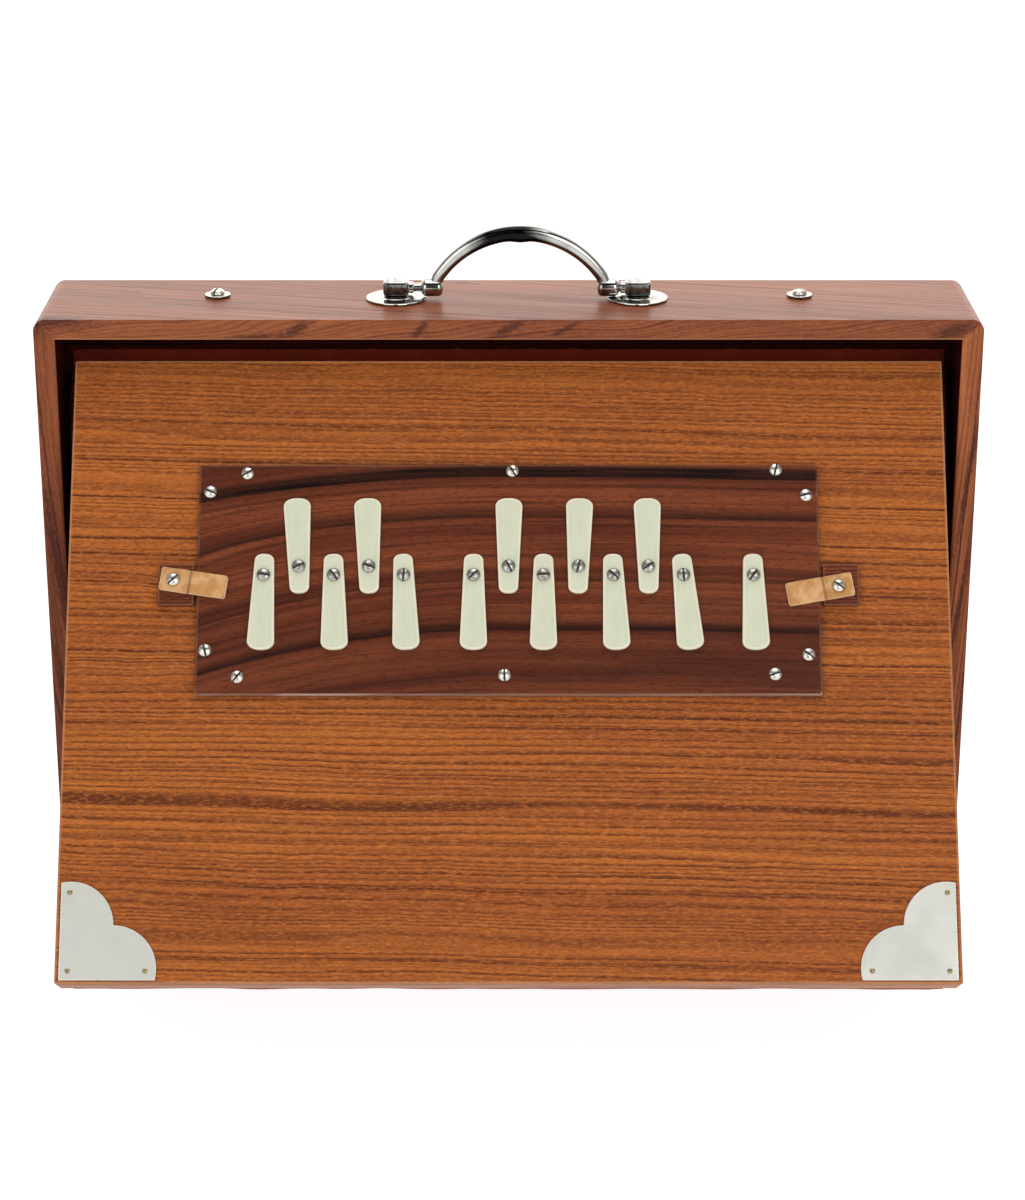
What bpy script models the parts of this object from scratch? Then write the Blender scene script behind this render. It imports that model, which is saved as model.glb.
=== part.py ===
"""Shruti box, a bellows drone instrument in a teak case, standing upright with its chest open.

Metres, +Z up, front towards -Y. The origin is the middle of the case's underside.
Chest pieces are placed in the frame of the chest's hinge: x across, y into the case, z up the face.
"""

import math

import bmesh
import bpy
from mathutils import Matrix, Vector

# Gap between pieces that touch, and the widest angle that still looks smooth
FIT = 0.0003
SMOOTH_ANGLE = math.radians(40)

# Case of four mitred boards
CASE_WIDTH = 0.400
CASE_HEIGHT = 0.309
CASE_DEPTH = 0.066
CASE_WALL = 0.009
CASE_CORNER_RADIUS = 0.005
CASE_EDGE_ROUND = 0.0008

# Centre board, held by two screws with washers through the top of the case
CENTRE_SETBACK = 0.033
CENTRE_THICKNESS = 0.010
CASE_SCREW_SPACING = 0.251
CASE_SCREW_HEAD_RADIUS = 0.00315
CASE_SCREW_HEAD_HEIGHT = 0.0021
CASE_SCREW_SHANK_RADIUS = 0.0018
CASE_SCREW_BITE = 0.012
WASHER_RADIUS = 0.0055
WASHER_THICKNESS = 0.0009

# Hinges of chest and pump board: rolls of cloth on the centre board
HINGE_OFFSET = 0.003
HINGE_CLOTH = 0.0007
HINGE_CLOTH_MARGIN = 0.0025
FRONT_HINGE_DROP = 0.0242
FRONT_CLOTH_HEIGHT = 0.0112
REAR_HINGE_DROP = 0.007
REAR_CLOTH_HEIGHT = 0.0055

# Chest: a frame of rails and stiles behind a face board
OPEN_ANGLE = math.radians(34)
CHEST_SIDE_CLEARANCE = 0.00635
CHEST_FOOT_CLEARANCE = 0.0018
FRAME_DEPTH = 0.014
FRAME_BAR = 0.014
FACE_THICKNESS = 0.004
FACE_CHAMFER = 0.0012

# Key plate and its screws, each screw set in from the plate's edges
PLATE_WIDTH = 0.260
PLATE_HEIGHT = 0.0990
PLATE_THICKNESS = 0.003
PLATE_DROP = 0.0472
PLATE_CHAMFER = 0.0005
PLATE_SCREW_FAR_INSET = 0.019
PLATE_SCREW_SIDE_INSET = 0.0047
PLATE_SCREW_TOP_INSET = 0.0035
PLATE_SCREW_SIDE_DROP = 0.013
PLATE_SCREW_FOOT_INSET = 0.0072
PLATE_SCREW_SIDE_RISE = 0.0175

# Small screws of the plate, tongues and tabs
SCREW_HEAD_RADIUS = 0.0028
SCREW_HEAD_HEIGHT = 0.0016
SCREW_SHANK_RADIUS = 0.0012
SLOT_WIDTH = 0.0008
SLOT_DEPTH = 0.0007

# Tongues, and how far each leans now, in degrees, wide end to the right
TONGUE_LENGTH = 0.041
TONGUE_WIDE = 0.0114
TONGUE_NARROW = 0.0082
TONGUE_THICKNESS = 0.0018
TONGUE_END_DEPTH = 0.0022
TONGUE_END_FULLNESS = 0.77
TONGUE_CHAMFER = 0.0004
TONGUE_PITCH = 0.0292
UPPER_TAIL = 0.0114
LOWER_TAIL = 0.0092
UPPER_ROW_DROP = 0.0445
LOWER_ROW_DROP = 0.0482
UPPER_PLACES = (-3, -2, 0, 1, 2)
UPPER_LEANS = (-2.4, -1.6, 0.4, 1.3, -0.5)
LOWER_LEANS = (-1.7, 1.2, 2.4, 0.0, -0.2, 2.3, 5.1, 1.3)
SOUND_HOLE_REACH = 0.025
SOUND_HOLE_RADIUS = 0.003

# Reeds behind the sound holes
REED_BLOCK_HEIGHT = 0.036
REED_BLOCK_THICKNESS = 0.006
REED_BLOCK_MARGIN = 0.011
REED_CELL_WIDTH = 0.007
REED_CELL_LENGTH = 0.028
REED_PLATE_MARGIN = 0.002
REED_PLATE_HEIGHT = 0.034
REED_PLATE_THICKNESS = 0.0015
REED_SLOT_WIDTH = 0.0030
REED_SLOT_LENGTH = 0.024
REED_WIDTH = 0.0022
REED_THICKNESS = 0.0004
REED_ROOT_LENGTH = 0.004

# Leather tabs on their blocks beside the plate
TAB_BLOCK_WIDTH = 0.015
TAB_BLOCK_HEIGHT = 0.0177
TAB_BLOCK_GAP = 0.0014
TAB_BLOCK_CHAMFER = 0.0005
TAB_DROP = 0.0518
TAB_WIDTH = 0.0099
TAB_THICKNESS = 0.0018
TAB_ROOT_LENGTH = 0.0122
TAB_FLAP_LENGTH = 0.0158
TAB_CORNER = 0.0008
LEFT_TAB_LEAN = math.radians(8.4)
RIGHT_TAB_LEAN = math.radians(9.9)
LEFT_TAB_CREASE = 0.0032
RIGHT_TAB_CREASE = 0.0017
LEFT_TAB_RISE = 0.0006
RIGHT_TAB_RISE = -0.0021
LEFT_TAB_SCREW_REACH = 0.0067
RIGHT_TAB_SCREW_REACH = 0.0061

# Corner plates of two equal lobes, and their nails
CORNER_INSET = 0.0013
CORNER_LOBE_RADIUS = 0.0179
CORNER_LOBE_SHIFT = 0.0044
CORNER_THICKNESS = 0.0008
NAIL_INSET = 0.0037
NAIL_LOBE_INSET = 0.0045
NAIL_HEAD_RADIUS = 0.0011
NAIL_HEAD_HEIGHT = 0.0005

# Bellows cloth of both chambers
BELLOWS_CLOTH = 0.0006
BELLOWS_INSET = 0.0015
BELLOWS_FOLDS = 6
FOLD_DEPTH = 0.012
FOLD_STEEPNESS = 2.2
FOLD_STATIONS = (0.0, 0.06, 0.14, 0.28, 0.55)

# Springs that open the chest
SPRING_INSET = 0.02265
SPRING_DROP = 0.046
SPRING_COIL_RADIUS = 0.005
SPRING_WIRE_RADIUS = 0.0012
SPRING_PITCH = 0.0032
SPRING_FACE_LEG = 0.120
SPRING_BOARD_DROP = 0.205
SPRING_TURN_POINTS = 12

# Pump board and the air valves of both boards
PUMP_THICKNESS = 0.010
PUMP_CLEARANCE = 0.002
PUMP_CHAMFER = 0.001
VALVE_PLACE = 0.070
TRANSFER_DROP = 0.150
INTAKE_DROP = 0.090
VALVE_HOLE_RADIUS = 0.0055
VALVE_HOLE_PITCH = 0.017
VALVE_HOLE_COUNT = 3
VALVE_HOLE_DROP = 0.012
FLAP_WIDTH = 0.060
FLAP_HEIGHT = 0.024
FLAP_THICKNESS = 0.0015
BATTEN_HEIGHT = 0.007
BATTEN_THICKNESS = 0.0022

# Carrying handle: discs, posts with pins, and a bow with a barrel at each foot
HANDLE_SHIFT = 0.0036
HANDLE_SETBACK = 0.034
POST_SPACING = 0.1038
POST_WIDTH = 0.011
POST_DEPTH = 0.009
POST_TOP = 0.0082
POST_ROUND = 0.0018
DISC_RADIUS = 0.013
DISC_THICKNESS = 0.0018
DISC_RIM = 0.0008
DISC_BOSS_RADIUS = 0.0074
STUD_RADIUS = 0.0018
STUD_BITE = 0.006
PIN_HEIGHT = 0.0052
PIN_RADIUS = 0.0019
PIN_REACH = 0.0085
BOW_SHIFT = 0.0014
BOW_PLAY = 0.00385
BOW_RISE = 0.0238
BOW_LEG_RADIUS = 0.0024
BOW_CROWN_RADIUS = 0.0033
BOW_GRIP_SWELL = 0.0004
BOW_GRIP_LENGTH = 0.006
BOW_STEPS = 18
BARREL_RADIUS = 0.0038
BARREL_LENGTH = 0.0094
BARREL_OFFSET = 0.0017
BARREL_ROUND = 0.0008
BORE_DEPTH = 0.0070

# Places that follow from the sizes
CASE_FRONT = -CASE_DEPTH / 2
INNER_WIDTH = CASE_WIDTH - 2 * CASE_WALL
INNER_TOP = CASE_HEIGHT - CASE_WALL
CENTRE_FRONT = CASE_FRONT + CENTRE_SETBACK
CENTRE_BACK = CENTRE_FRONT + CENTRE_THICKNESS
CENTRE_MIDDLE = (CENTRE_FRONT + CENTRE_BACK) / 2
FRONT_HINGE = Vector((0, CENTRE_FRONT - HINGE_OFFSET, INNER_TOP - FRONT_HINGE_DROP))
REAR_HINGE = Vector((0, CENTRE_BACK + HINGE_OFFSET, INNER_TOP - REAR_HINGE_DROP))
CHEST_WIDTH = INNER_WIDTH - 2 * CHEST_SIDE_CLEARANCE
CHEST_HEIGHT = FRONT_HINGE.z - CASE_WALL - CHEST_FOOT_CLEARANCE
PUMP_WIDTH = INNER_WIDTH - 2 * PUMP_CLEARANCE
PUMP_HEIGHT = REAR_HINGE.z - CASE_WALL - PUMP_CLEARANCE

# Layers of the chest, outwards from the hinge, all on the -y side
FRAME_BACK = -HINGE_OFFSET
FRAME_FRONT = FRAME_BACK - FRAME_DEPTH
FACE_BACK = FRAME_FRONT - FIT
FACE_FRONT = FACE_BACK - FACE_THICKNESS
PLATE_BACK = FACE_FRONT - FIT
PLATE_FRONT = PLATE_BACK - PLATE_THICKNESS
TONGUE_BACK = PLATE_FRONT - FIT
TONGUE_FRONT = TONGUE_BACK - TONGUE_THICKNESS
TAB_BACK = PLATE_FRONT - FIT
TAB_FRONT = TAB_BACK - TAB_THICKNESS
CORNER_BACK = FACE_FRONT - FIT
CORNER_FRONT = CORNER_BACK - CORNER_THICKNESS
REED_BLOCK_BACK = FACE_BACK + FIT + REED_BLOCK_THICKNESS
REED_PLATE_BACK = REED_BLOCK_BACK + FIT + REED_PLATE_THICKNESS

# Springs inside the stiles, and the bow between its posts
SPRING_PLACE = CHEST_WIDTH / 2 - FRAME_BAR - SPRING_INSET
BARREL_PLACE = (POST_SPACING - POST_WIDTH) / 2 - BOW_PLAY - BARREL_LENGTH / 2
BOW_HALF_SPAN = BARREL_PLACE - BARREL_OFFSET

# Heights on the chest, downwards from the hinge
PLATE_TOP = -PLATE_DROP
PLATE_MIDDLE = PLATE_TOP - PLATE_HEIGHT / 2
UPPER_ROW = PLATE_TOP - UPPER_ROW_DROP
LOWER_ROW = PLATE_TOP - LOWER_ROW_DROP
TAB_MIDDLE = PLATE_TOP - TAB_DROP

# Turns that lay a flat outline in the X-Z plane, or in the Y-Z plane
FACING_FRONT = (math.pi / 2, 0, 0)
FACING_SIDE = (math.pi / 2, 0, math.pi / 2)

PARTS = bpy.data.collections.new("shruti_box")
CUTTERS = bpy.data.collections.new("cutters")


def clear_scene():
    """Remove what the scene holds and add the two collections."""
    for old in list(bpy.data.objects):
        bpy.data.objects.remove(old, do_unlink=True)
    bpy.context.scene.collection.children.link(PARTS)
    bpy.context.scene.collection.children.link(CUTTERS)


def make_material(name, colour, roughness, metallic=0.0):
    """A Principled BSDF material."""
    material = bpy.data.materials.new(name)
    material.use_nodes = True
    shader = material.node_tree.nodes["Principled BSDF"]
    shader.inputs["Base Color"].default_value = (*colour, 1.0)
    shader.inputs["Roughness"].default_value = roughness
    shader.inputs["Metallic"].default_value = metallic
    return material


def make_materials():
    """The finishes that the pieces share."""
    return {
        "case_teak": make_material("case_teak", (0.30, 0.10, 0.045), 0.42),
        "face_teak": make_material("face_teak", (0.38, 0.11, 0.030), 0.40),
        "pale_teak": make_material("pale_teak", (0.42, 0.17, 0.075), 0.55),
        "inner_ply": make_material("inner_ply", (0.36, 0.19, 0.09), 0.60),
        "rosewood": make_material("rosewood", (0.12, 0.030, 0.014), 0.38),
        "ivory": make_material("ivory", (0.76, 0.78, 0.60), 0.35),
        "nickel": make_material("nickel", (0.62, 0.60, 0.55), 0.28, 1.0),
        "chrome": make_material("chrome", (0.75, 0.75, 0.74), 0.10, 1.0),
        "aluminium": make_material("aluminium", (0.64, 0.63, 0.58), 0.45, 1.0),
        "brass": make_material("brass", (0.62, 0.43, 0.16), 0.32, 1.0),
        "spring_steel": make_material("spring_steel", (0.30, 0.30, 0.30), 0.35, 1.0),
        "leather": make_material("leather", (0.62, 0.36, 0.16), 0.65),
        "valve_leather": make_material("valve_leather", (0.50, 0.36, 0.22), 0.75),
        "maroon_cloth": make_material("maroon_cloth", (0.13, 0.012, 0.014), 0.85),
    }


def place(obj, material, location=(0, 0, 0), rotation=(0, 0, 0), parent=None):
    """Put a piece in the parts collection, in its parent's frame."""
    PARTS.objects.link(obj)
    obj.location = location
    obj.rotation_euler = rotation
    obj.parent = parent
    obj.data.materials.append(material)
    return obj


def pivot(name, location, rotation=(0, 0, 0), parent=None):
    """An empty on a joint's axis, which carries the pieces that turn about it."""
    empty = bpy.data.objects.new(name, None)
    PARTS.objects.link(empty)
    empty.location = location
    empty.rotation_euler = rotation
    empty.parent = parent
    return empty


def as_cutter(obj, parent=None):
    """Keep a cutting or joining shape apart from the parts and out of renders."""
    CUTTERS.objects.link(obj)
    obj.parent = parent
    obj.display_type = "WIRE"
    obj.hide_render = True
    return obj


def mesh_from(shape, name):
    """Turn a bmesh into a mesh with outward faces, smooth where it is round."""
    bmesh.ops.recalc_face_normals(shape, faces=shape.faces)
    mesh = bpy.data.meshes.new(name)
    shape.to_mesh(mesh)
    shape.free()
    mesh.shade_smooth()
    mesh.set_sharp_from_angle(angle=SMOOTH_ANGLE)
    return mesh


def evaluated_mesh(obj):
    """The mesh that an object shows with its modifiers applied."""
    bpy.context.view_layer.update()
    graph = bpy.context.evaluated_depsgraph_get()
    return bpy.data.meshes.new_from_object(obj.evaluated_get(graph), depsgraph=graph)


def combine(target, other, operation):
    """Cut another solid from the target, or join it on."""
    boolean = target.modifiers.new(other.name, "BOOLEAN")
    boolean.operation = operation
    boolean.object = other


def box_mesh(name, size):
    """A cuboid about its own centre."""
    shape = bmesh.new()
    bmesh.ops.create_cube(shape, size=1.0)
    bmesh.ops.scale(shape, vec=size, verts=shape.verts)
    return mesh_from(shape, name)


def box(name, size, material, location, parent=None, rounding=0.0):
    """A cuboid piece with rounded edges if asked for."""
    obj = place(bpy.data.objects.new(name, box_mesh(name, size)), material, location, parent=parent)
    if rounding:
        soften(obj, rounding)
    return obj


def soften(obj, width, segments=1):
    """Bevel the sharp edges of a piece."""
    bevel = obj.modifiers.new("edges", "BEVEL")
    bevel.width = width
    bevel.segments = segments
    bevel.limit_method = "ANGLE"
    bevel.angle_limit = math.radians(50)


def arc(centre, radius, start, end, steps):
    """Points on an arc, both ends included."""
    angles = [start + (end - start) * i / steps for i in range(steps + 1)]
    return [(centre[0] + radius * math.cos(a), centre[1] + radius * math.sin(a)) for a in angles]


def rectangle(width, height, centre=(0, 0)):
    """Corners of a rectangle, anticlockwise."""
    x, y = centre
    return [
        (x - width / 2, y - height / 2),
        (x + width / 2, y - height / 2),
        (x + width / 2, y + height / 2),
        (x - width / 2, y + height / 2),
    ]


def rounded(corners, radius, steps=2):
    """A convex anticlockwise outline with each corner turned into an arc."""
    points = []
    for i, corner in enumerate(corners):
        here = Vector(corner)
        back = (Vector(corners[i - 1]) - here).normalized()
        ahead = (Vector(corners[(i + 1) % len(corners)]) - here).normalized()
        half = back.angle(ahead) / 2
        centre = here + (back + ahead).normalized() * radius / math.sin(half)
        first = here + back * radius / math.tan(half) - centre
        start = math.atan2(first.y, first.x)
        points += arc(centre, radius, start, start + math.pi - 2 * half, steps)
    return points


def slab_mesh(name, outline, thickness):
    """An outline in x-y, thick along z about z = 0, with one face on each side."""
    curve = bpy.data.curves.new(name, "CURVE")
    curve.dimensions = "2D"
    curve.fill_mode = "BOTH"
    curve.extrude = thickness / 2
    spline = curve.splines.new("POLY")
    spline.points.add(len(outline) - 1)
    for point, (x, y) in zip(spline.points, outline):
        point.co = (x, y, 0, 1)
    spline.use_cyclic_u = True
    drawn = as_cutter(bpy.data.objects.new(name, curve))
    shape = bmesh.new()
    shape.from_mesh(evaluated_mesh(drawn))
    bpy.data.objects.remove(drawn)
    bmesh.ops.remove_doubles(shape, verts=shape.verts, dist=FIT / 30)
    bmesh.ops.dissolve_limit(shape, angle_limit=math.radians(0.5), verts=shape.verts, edges=shape.edges)
    return mesh_from(shape, name)


def slab(name, outline, thickness, material, location, rotation=FACING_FRONT, parent=None):
    """A flat piece cut to an outline."""
    mesh = slab_mesh(name, outline, thickness)
    return place(bpy.data.objects.new(name, mesh), material, location, rotation, parent)


def chamfer_rim(obj, width, both_sides=False):
    """Bevel the edge round a slab's outer side, or round both sides."""
    weights = obj.data.attributes.new("bevel_weight_edge", "FLOAT", "EDGE")
    for edge, weight in zip(obj.data.edges, weights.data):
        heights = [obj.data.vertices[v].co.z for v in edge.vertices]
        on_outer = min(heights) > 0
        on_inner = max(heights) < 0
        weight.value = 1.0 if on_outer or (both_sides and on_inner) else 0.0
    bevel = obj.modifiers.new("chamfer", "BEVEL")
    bevel.width = width
    bevel.segments = 1
    bevel.limit_method = "WEIGHT"


def rod_mesh(name, rods, along, segments=12):
    """Round rods in one mesh, each a centre, a radius and a length, along one axis."""
    turn = {"X": Matrix.Rotation(math.pi / 2, 4, "Y"), "Y": Matrix.Rotation(math.pi / 2, 4, "X")}
    shape = bmesh.new()
    for centre, radius, length in rods:
        bmesh.ops.create_cone(
            shape,
            cap_ends=True,
            segments=segments,
            radius1=radius,
            radius2=radius,
            depth=length,
            matrix=Matrix.Translation(centre) @ turn.get(along, Matrix.Identity(4)),
        )
    return mesh_from(shape, name)


def drill(target, rods, along, parent=None):
    """Cut round holes in a piece; the rods are given in the parent's frame."""
    name = target.name + "_holes_" + along.lower()
    cutter = as_cutter(bpy.data.objects.new(name, rod_mesh(name, rods, along)), parent)
    combine(target, cutter, "DIFFERENCE")


def cut_boxes(target, boxes, parent=None):
    """Cut square holes in a piece, each box a centre and a size in the parent's frame."""
    shape = bmesh.new()
    for centre, size in boxes:
        stretch = Matrix.Translation(centre) @ Matrix.Diagonal((*size, 1))
        bmesh.ops.create_cube(shape, size=1.0, matrix=stretch)
    name = target.name + "_slots"
    cutter = as_cutter(bpy.data.objects.new(name, mesh_from(shape, name)), parent)
    combine(target, cutter, "DIFFERENCE")


def turned_mesh(name, profile, steps=16):
    """A profile of radius and height, listed down its outer side, turned about z."""
    mesh = bpy.data.meshes.new(name)
    vertices = [(radius, 0, height) for radius, height in profile]
    edges = [(i, i + 1) for i in range(len(profile) - 1)]
    mesh.from_pydata(vertices, edges, [])
    obj = as_cutter(bpy.data.objects.new(name, mesh))
    screw = obj.modifiers.new("turn", "SCREW")
    screw.steps = steps
    screw.render_steps = steps
    screw.use_merge_vertices = True
    screw.merge_threshold = FIT / 30
    shape = bmesh.new()
    shape.from_mesh(evaluated_mesh(obj))
    bpy.data.objects.remove(obj)
    bmesh.ops.remove_doubles(shape, verts=shape.verts, dist=FIT / 30)
    return mesh_from(shape, name)


def copies_mesh(name, source, places):
    """Copies of a solid in one mesh, to be cut away or joined on together."""
    shape = bmesh.new()
    for matrix in places:
        copy = source.copy()
        copy.transform(matrix)
        shape.from_mesh(copy)
        bpy.data.meshes.remove(copy)
    return mesh_from(shape, name)


def join_copies(target, name, source, places, parent=None):
    """Join a copy of a solid onto a piece at each place, given in the parent's frame."""
    joined = as_cutter(bpy.data.objects.new(name, copies_mesh(name, source, places)), parent)
    combine(target, joined, "UNION")


def slotted_screw_mesh(name, head_radius, head_height, shank_radius, shank_length):
    """A round-head screw about z, its head above z = 0 and a slot across it."""
    profile = [
        (0, head_height),
        (head_radius * 0.55, head_height * 0.86),
        (head_radius * 0.88, head_height * 0.48),
        (head_radius, 0),
        (shank_radius, 0),
        (shank_radius, -shank_length),
        (0, -shank_length),
    ]
    screw = as_cutter(bpy.data.objects.new(name, turned_mesh(name, profile, 12)))
    slot = as_cutter(bpy.data.objects.new(name + "_slot", box_mesh(
        name + "_slot", (2.2 * head_radius, SLOT_WIDTH, 2 * SLOT_DEPTH))))
    slot.location.z = head_height
    combine(screw, slot, "DIFFERENCE")
    mesh = evaluated_mesh(screw)
    bpy.data.objects.remove(screw)
    bpy.data.objects.remove(slot)
    return mesh


def facing_front_at(x, y, z, spin=0.0):
    """A place on the chest for a mesh whose z axis becomes the outward direction."""
    return Matrix.Translation((x, y, z)) @ Matrix.Rotation(math.pi / 2, 4, "X") @ Matrix.Rotation(spin, 4, "Z")


def slot_angle(index):
    """Screw slots that stop at unlike angles, as a hand leaves them."""
    return math.radians(35 + 137.5 * index)


def mitred_outline(length):
    """A case board seen from the front, outer side up, with half of each rounded corner."""
    slack = FIT / math.sqrt(2)
    half = length / 2 - slack
    corner = (half - CASE_CORNER_RADIUS, CASE_WALL / 2 - CASE_CORNER_RADIUS)
    right = arc(corner, CASE_CORNER_RADIUS, math.pi / 4, math.pi / 2, 3)
    left = [(-x, y) for x, y in reversed(right)]
    inner = (half - CASE_WALL, -CASE_WALL / 2)
    return [(-inner[0], inner[1]), inner, *right, *left]


def make_case(materials):
    """The four mitred boards; the top one takes the screws and the handle's studs."""
    wood = materials["case_teak"]
    middle = CASE_WALL / 2
    boards = (
        ("case_top_board", CASE_WIDTH, (0, 0, CASE_HEIGHT - middle), 0),
        ("case_bottom_board", CASE_WIDTH, (0, 0, middle), math.pi),
        ("case_left_board", CASE_HEIGHT, (middle - CASE_WIDTH / 2, 0, CASE_HEIGHT / 2), -math.pi / 2),
        ("case_right_board", CASE_HEIGHT, (CASE_WIDTH / 2 - middle, 0, CASE_HEIGHT / 2), math.pi / 2),
    )
    for name, length, centre, turn in boards:
        board = slab(name, mitred_outline(length), CASE_DEPTH, wood, centre, (math.pi / 2, turn, 0))
        chamfer_rim(board, CASE_EDGE_ROUND, both_sides=True)
        if name == "case_top_board":
            screws = [
                ((x, CENTRE_MIDDLE, CASE_HEIGHT - middle), CASE_SCREW_SHANK_RADIUS + FIT, 2 * CASE_WALL)
                for x in case_screw_places()
            ]
            studs = [
                ((x, handle_y(), CASE_HEIGHT - STUD_BITE / 2), STUD_RADIUS + FIT, STUD_BITE + 2 * FIT)
                for x in post_places()
            ]
            drill(board, screws + studs, "Z")


def case_screw_places():
    """Where the top screws stand, left and right."""
    return (-CASE_SCREW_SPACING / 2, CASE_SCREW_SPACING / 2)


def make_case_screws(materials):
    """Round-head screws on washers, down through the top into the centre board."""
    bore = CASE_SCREW_SHANK_RADIUS + FIT
    washer_profile = [
        (bore, WASHER_THICKNESS),
        (WASHER_RADIUS, WASHER_THICKNESS),
        (WASHER_RADIUS, 0),
        (bore, 0),
        (bore, WASHER_THICKNESS),
    ]
    washer = turned_mesh("case_washer", washer_profile)
    washer_z = CASE_HEIGHT + FIT
    head_z = washer_z + WASHER_THICKNESS + FIT
    length = head_z - INNER_TOP + CASE_SCREW_BITE
    screw = slotted_screw_mesh(
        "case_screw", CASE_SCREW_HEAD_RADIUS, CASE_SCREW_HEAD_HEIGHT, CASE_SCREW_SHANK_RADIUS, length)
    for i, (word, x) in enumerate(zip(("left", "right"), case_screw_places())):
        washer_piece = bpy.data.objects.new("case_washer_" + word, washer.copy())
        place(washer_piece, materials["nickel"], (x, CENTRE_MIDDLE, washer_z))
        screw_piece = bpy.data.objects.new("case_screw_" + word, screw.copy())
        place(screw_piece, materials["nickel"], (x, CENTRE_MIDDLE, head_z), (0, 0, slot_angle(i)))


def valve_hole_rods(place_z, board_middle, board_thickness):
    """Air holes under both flaps of a board."""
    offsets = [(i - (VALVE_HOLE_COUNT - 1) / 2) * VALVE_HOLE_PITCH for i in range(VALVE_HOLE_COUNT)]
    return [
        ((side * VALVE_PLACE + offset, board_middle, place_z - VALVE_HOLE_DROP),
         VALVE_HOLE_RADIUS, 2 * board_thickness)
        for side in (-1, 1)
        for offset in offsets
    ]


def make_valves(prefix, flap_top, board_front, materials, parent=None):
    """Two leather flaps, each hung below a batten on a board's front face."""
    batten_size = (FLAP_WIDTH, BATTEN_THICKNESS, BATTEN_HEIGHT)
    batten_y = board_front - FIT - BATTEN_THICKNESS / 2
    batten_z = flap_top + FIT + BATTEN_HEIGHT / 2
    outline = rounded(rectangle(FLAP_WIDTH, FLAP_HEIGHT), FLAP_THICKNESS)
    hung = (0, FLAP_THICKNESS / 2, -FLAP_HEIGHT / 2)
    for side, word in ((-1, "left"), (1, "right")):
        x = side * VALVE_PLACE
        name = prefix + "_flap_" + word
        hinge = pivot(name + "_hinge", (x, board_front - FIT - FLAP_THICKNESS, flap_top), parent=parent)
        slab(name, outline, FLAP_THICKNESS, materials["valve_leather"], hung, parent=hinge)
        box(prefix + "_batten_" + word, batten_size, materials["inner_ply"], (x, batten_y, batten_z), parent)


def make_centre_board(materials):
    """The fixed board between the two bellows, with its transfer valves."""
    outline = rectangle(INNER_WIDTH - 2 * FIT, INNER_TOP - CASE_WALL - 2 * FIT)
    centre = (0, CENTRE_MIDDLE, (INNER_TOP + CASE_WALL) / 2)
    board = slab("centre_board", outline, CENTRE_THICKNESS, materials["inner_ply"], centre)
    flap_top = FRONT_HINGE.z - TRANSFER_DROP
    drill(board, valve_hole_rods(flap_top, CENTRE_MIDDLE, CENTRE_THICKNESS), "Y")
    radius = CASE_SCREW_SHANK_RADIUS + FIT
    depth = 2 * (CASE_SCREW_BITE + FIT)
    drill(board, [((x, CENTRE_MIDDLE, INNER_TOP), radius, depth) for x in case_screw_places()], "Z")
    make_valves("transfer", flap_top, CENTRE_FRONT, materials)


def make_hinge_cloth(name, hinge, strip_height, towards_back, materials):
    """A strip glued to the centre board whose lower edge is rolled into the hinge line."""
    roll = HINGE_OFFSET - FIT
    meet = math.acos((roll - HINGE_CLOTH) / roll)
    around = arc((0, 0), roll, 0, meet - 2 * math.pi, 14)
    outline = [(roll, strip_height), *around, (roll - HINGE_CLOTH, strip_height)]
    if towards_back:
        outline = [(-x, y) for x, y in reversed(outline)]
    width = CHEST_WIDTH + 2 * HINGE_CLOTH_MARGIN
    slab(name, outline, width, materials["maroon_cloth"], hinge, FACING_SIDE)


def fold_depth(drop, angle):
    """How deep the folds are at a distance below the hinge, shallower where they crowd."""
    reach = 2 * HINGE_OFFSET + drop * angle
    return min(FOLD_DEPTH, FOLD_STEEPNESS * reach / (2 * BELLOWS_FOLDS))


def bellows_line(width, length, angle, folded_in):
    """Side, foot and other side of the bellows at one crease, as x and drop."""
    start = HINGE_OFFSET + BELLOWS_CLOTH
    side = []
    for station in FOLD_STATIONS:
        drop = start + (length - start) * station
        side.append((width / 2 - folded_in * fold_depth(drop, angle), drop))
    foot = folded_in * fold_depth(length, angle)
    side.append((width / 2 - foot, length - foot))
    return [(-x, drop) for x, drop in side] + [(x, drop) for x, drop in reversed(side)]


def make_bellows(name, hinge, width, length, angle, materials):
    """Pleated cloth round two sides and the foot, its creases fanned out about the hinge."""
    creases = 2 * BELLOWS_FOLDS
    reach = HINGE_OFFSET - FIT - BELLOWS_CLOTH / 2
    shape = bmesh.new()
    rows = []
    for i in range(creases + 1):
        share = i / creases
        turn = Matrix.Rotation(-angle * share, 4, "X")
        line = bellows_line(width, length, angle, i % 2)
        rows.append([shape.verts.new(turn @ Vector((x, reach * (1 - 2 * share), -drop))) for x, drop in line])
    for row, following in zip(rows, rows[1:]):
        for i in range(len(row) - 1):
            shape.faces.new((row[i], row[i + 1], following[i + 1], following[i]))
    mesh = bpy.data.meshes.new(name)
    shape.to_mesh(mesh)
    shape.free()
    obj = place(bpy.data.objects.new(name, mesh), materials["maroon_cloth"], hinge)
    shell = obj.modifiers.new("cloth", "SOLIDIFY")
    shell.thickness = BELLOWS_CLOTH
    shell.offset = 0
    shell.use_even_offset = True


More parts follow.
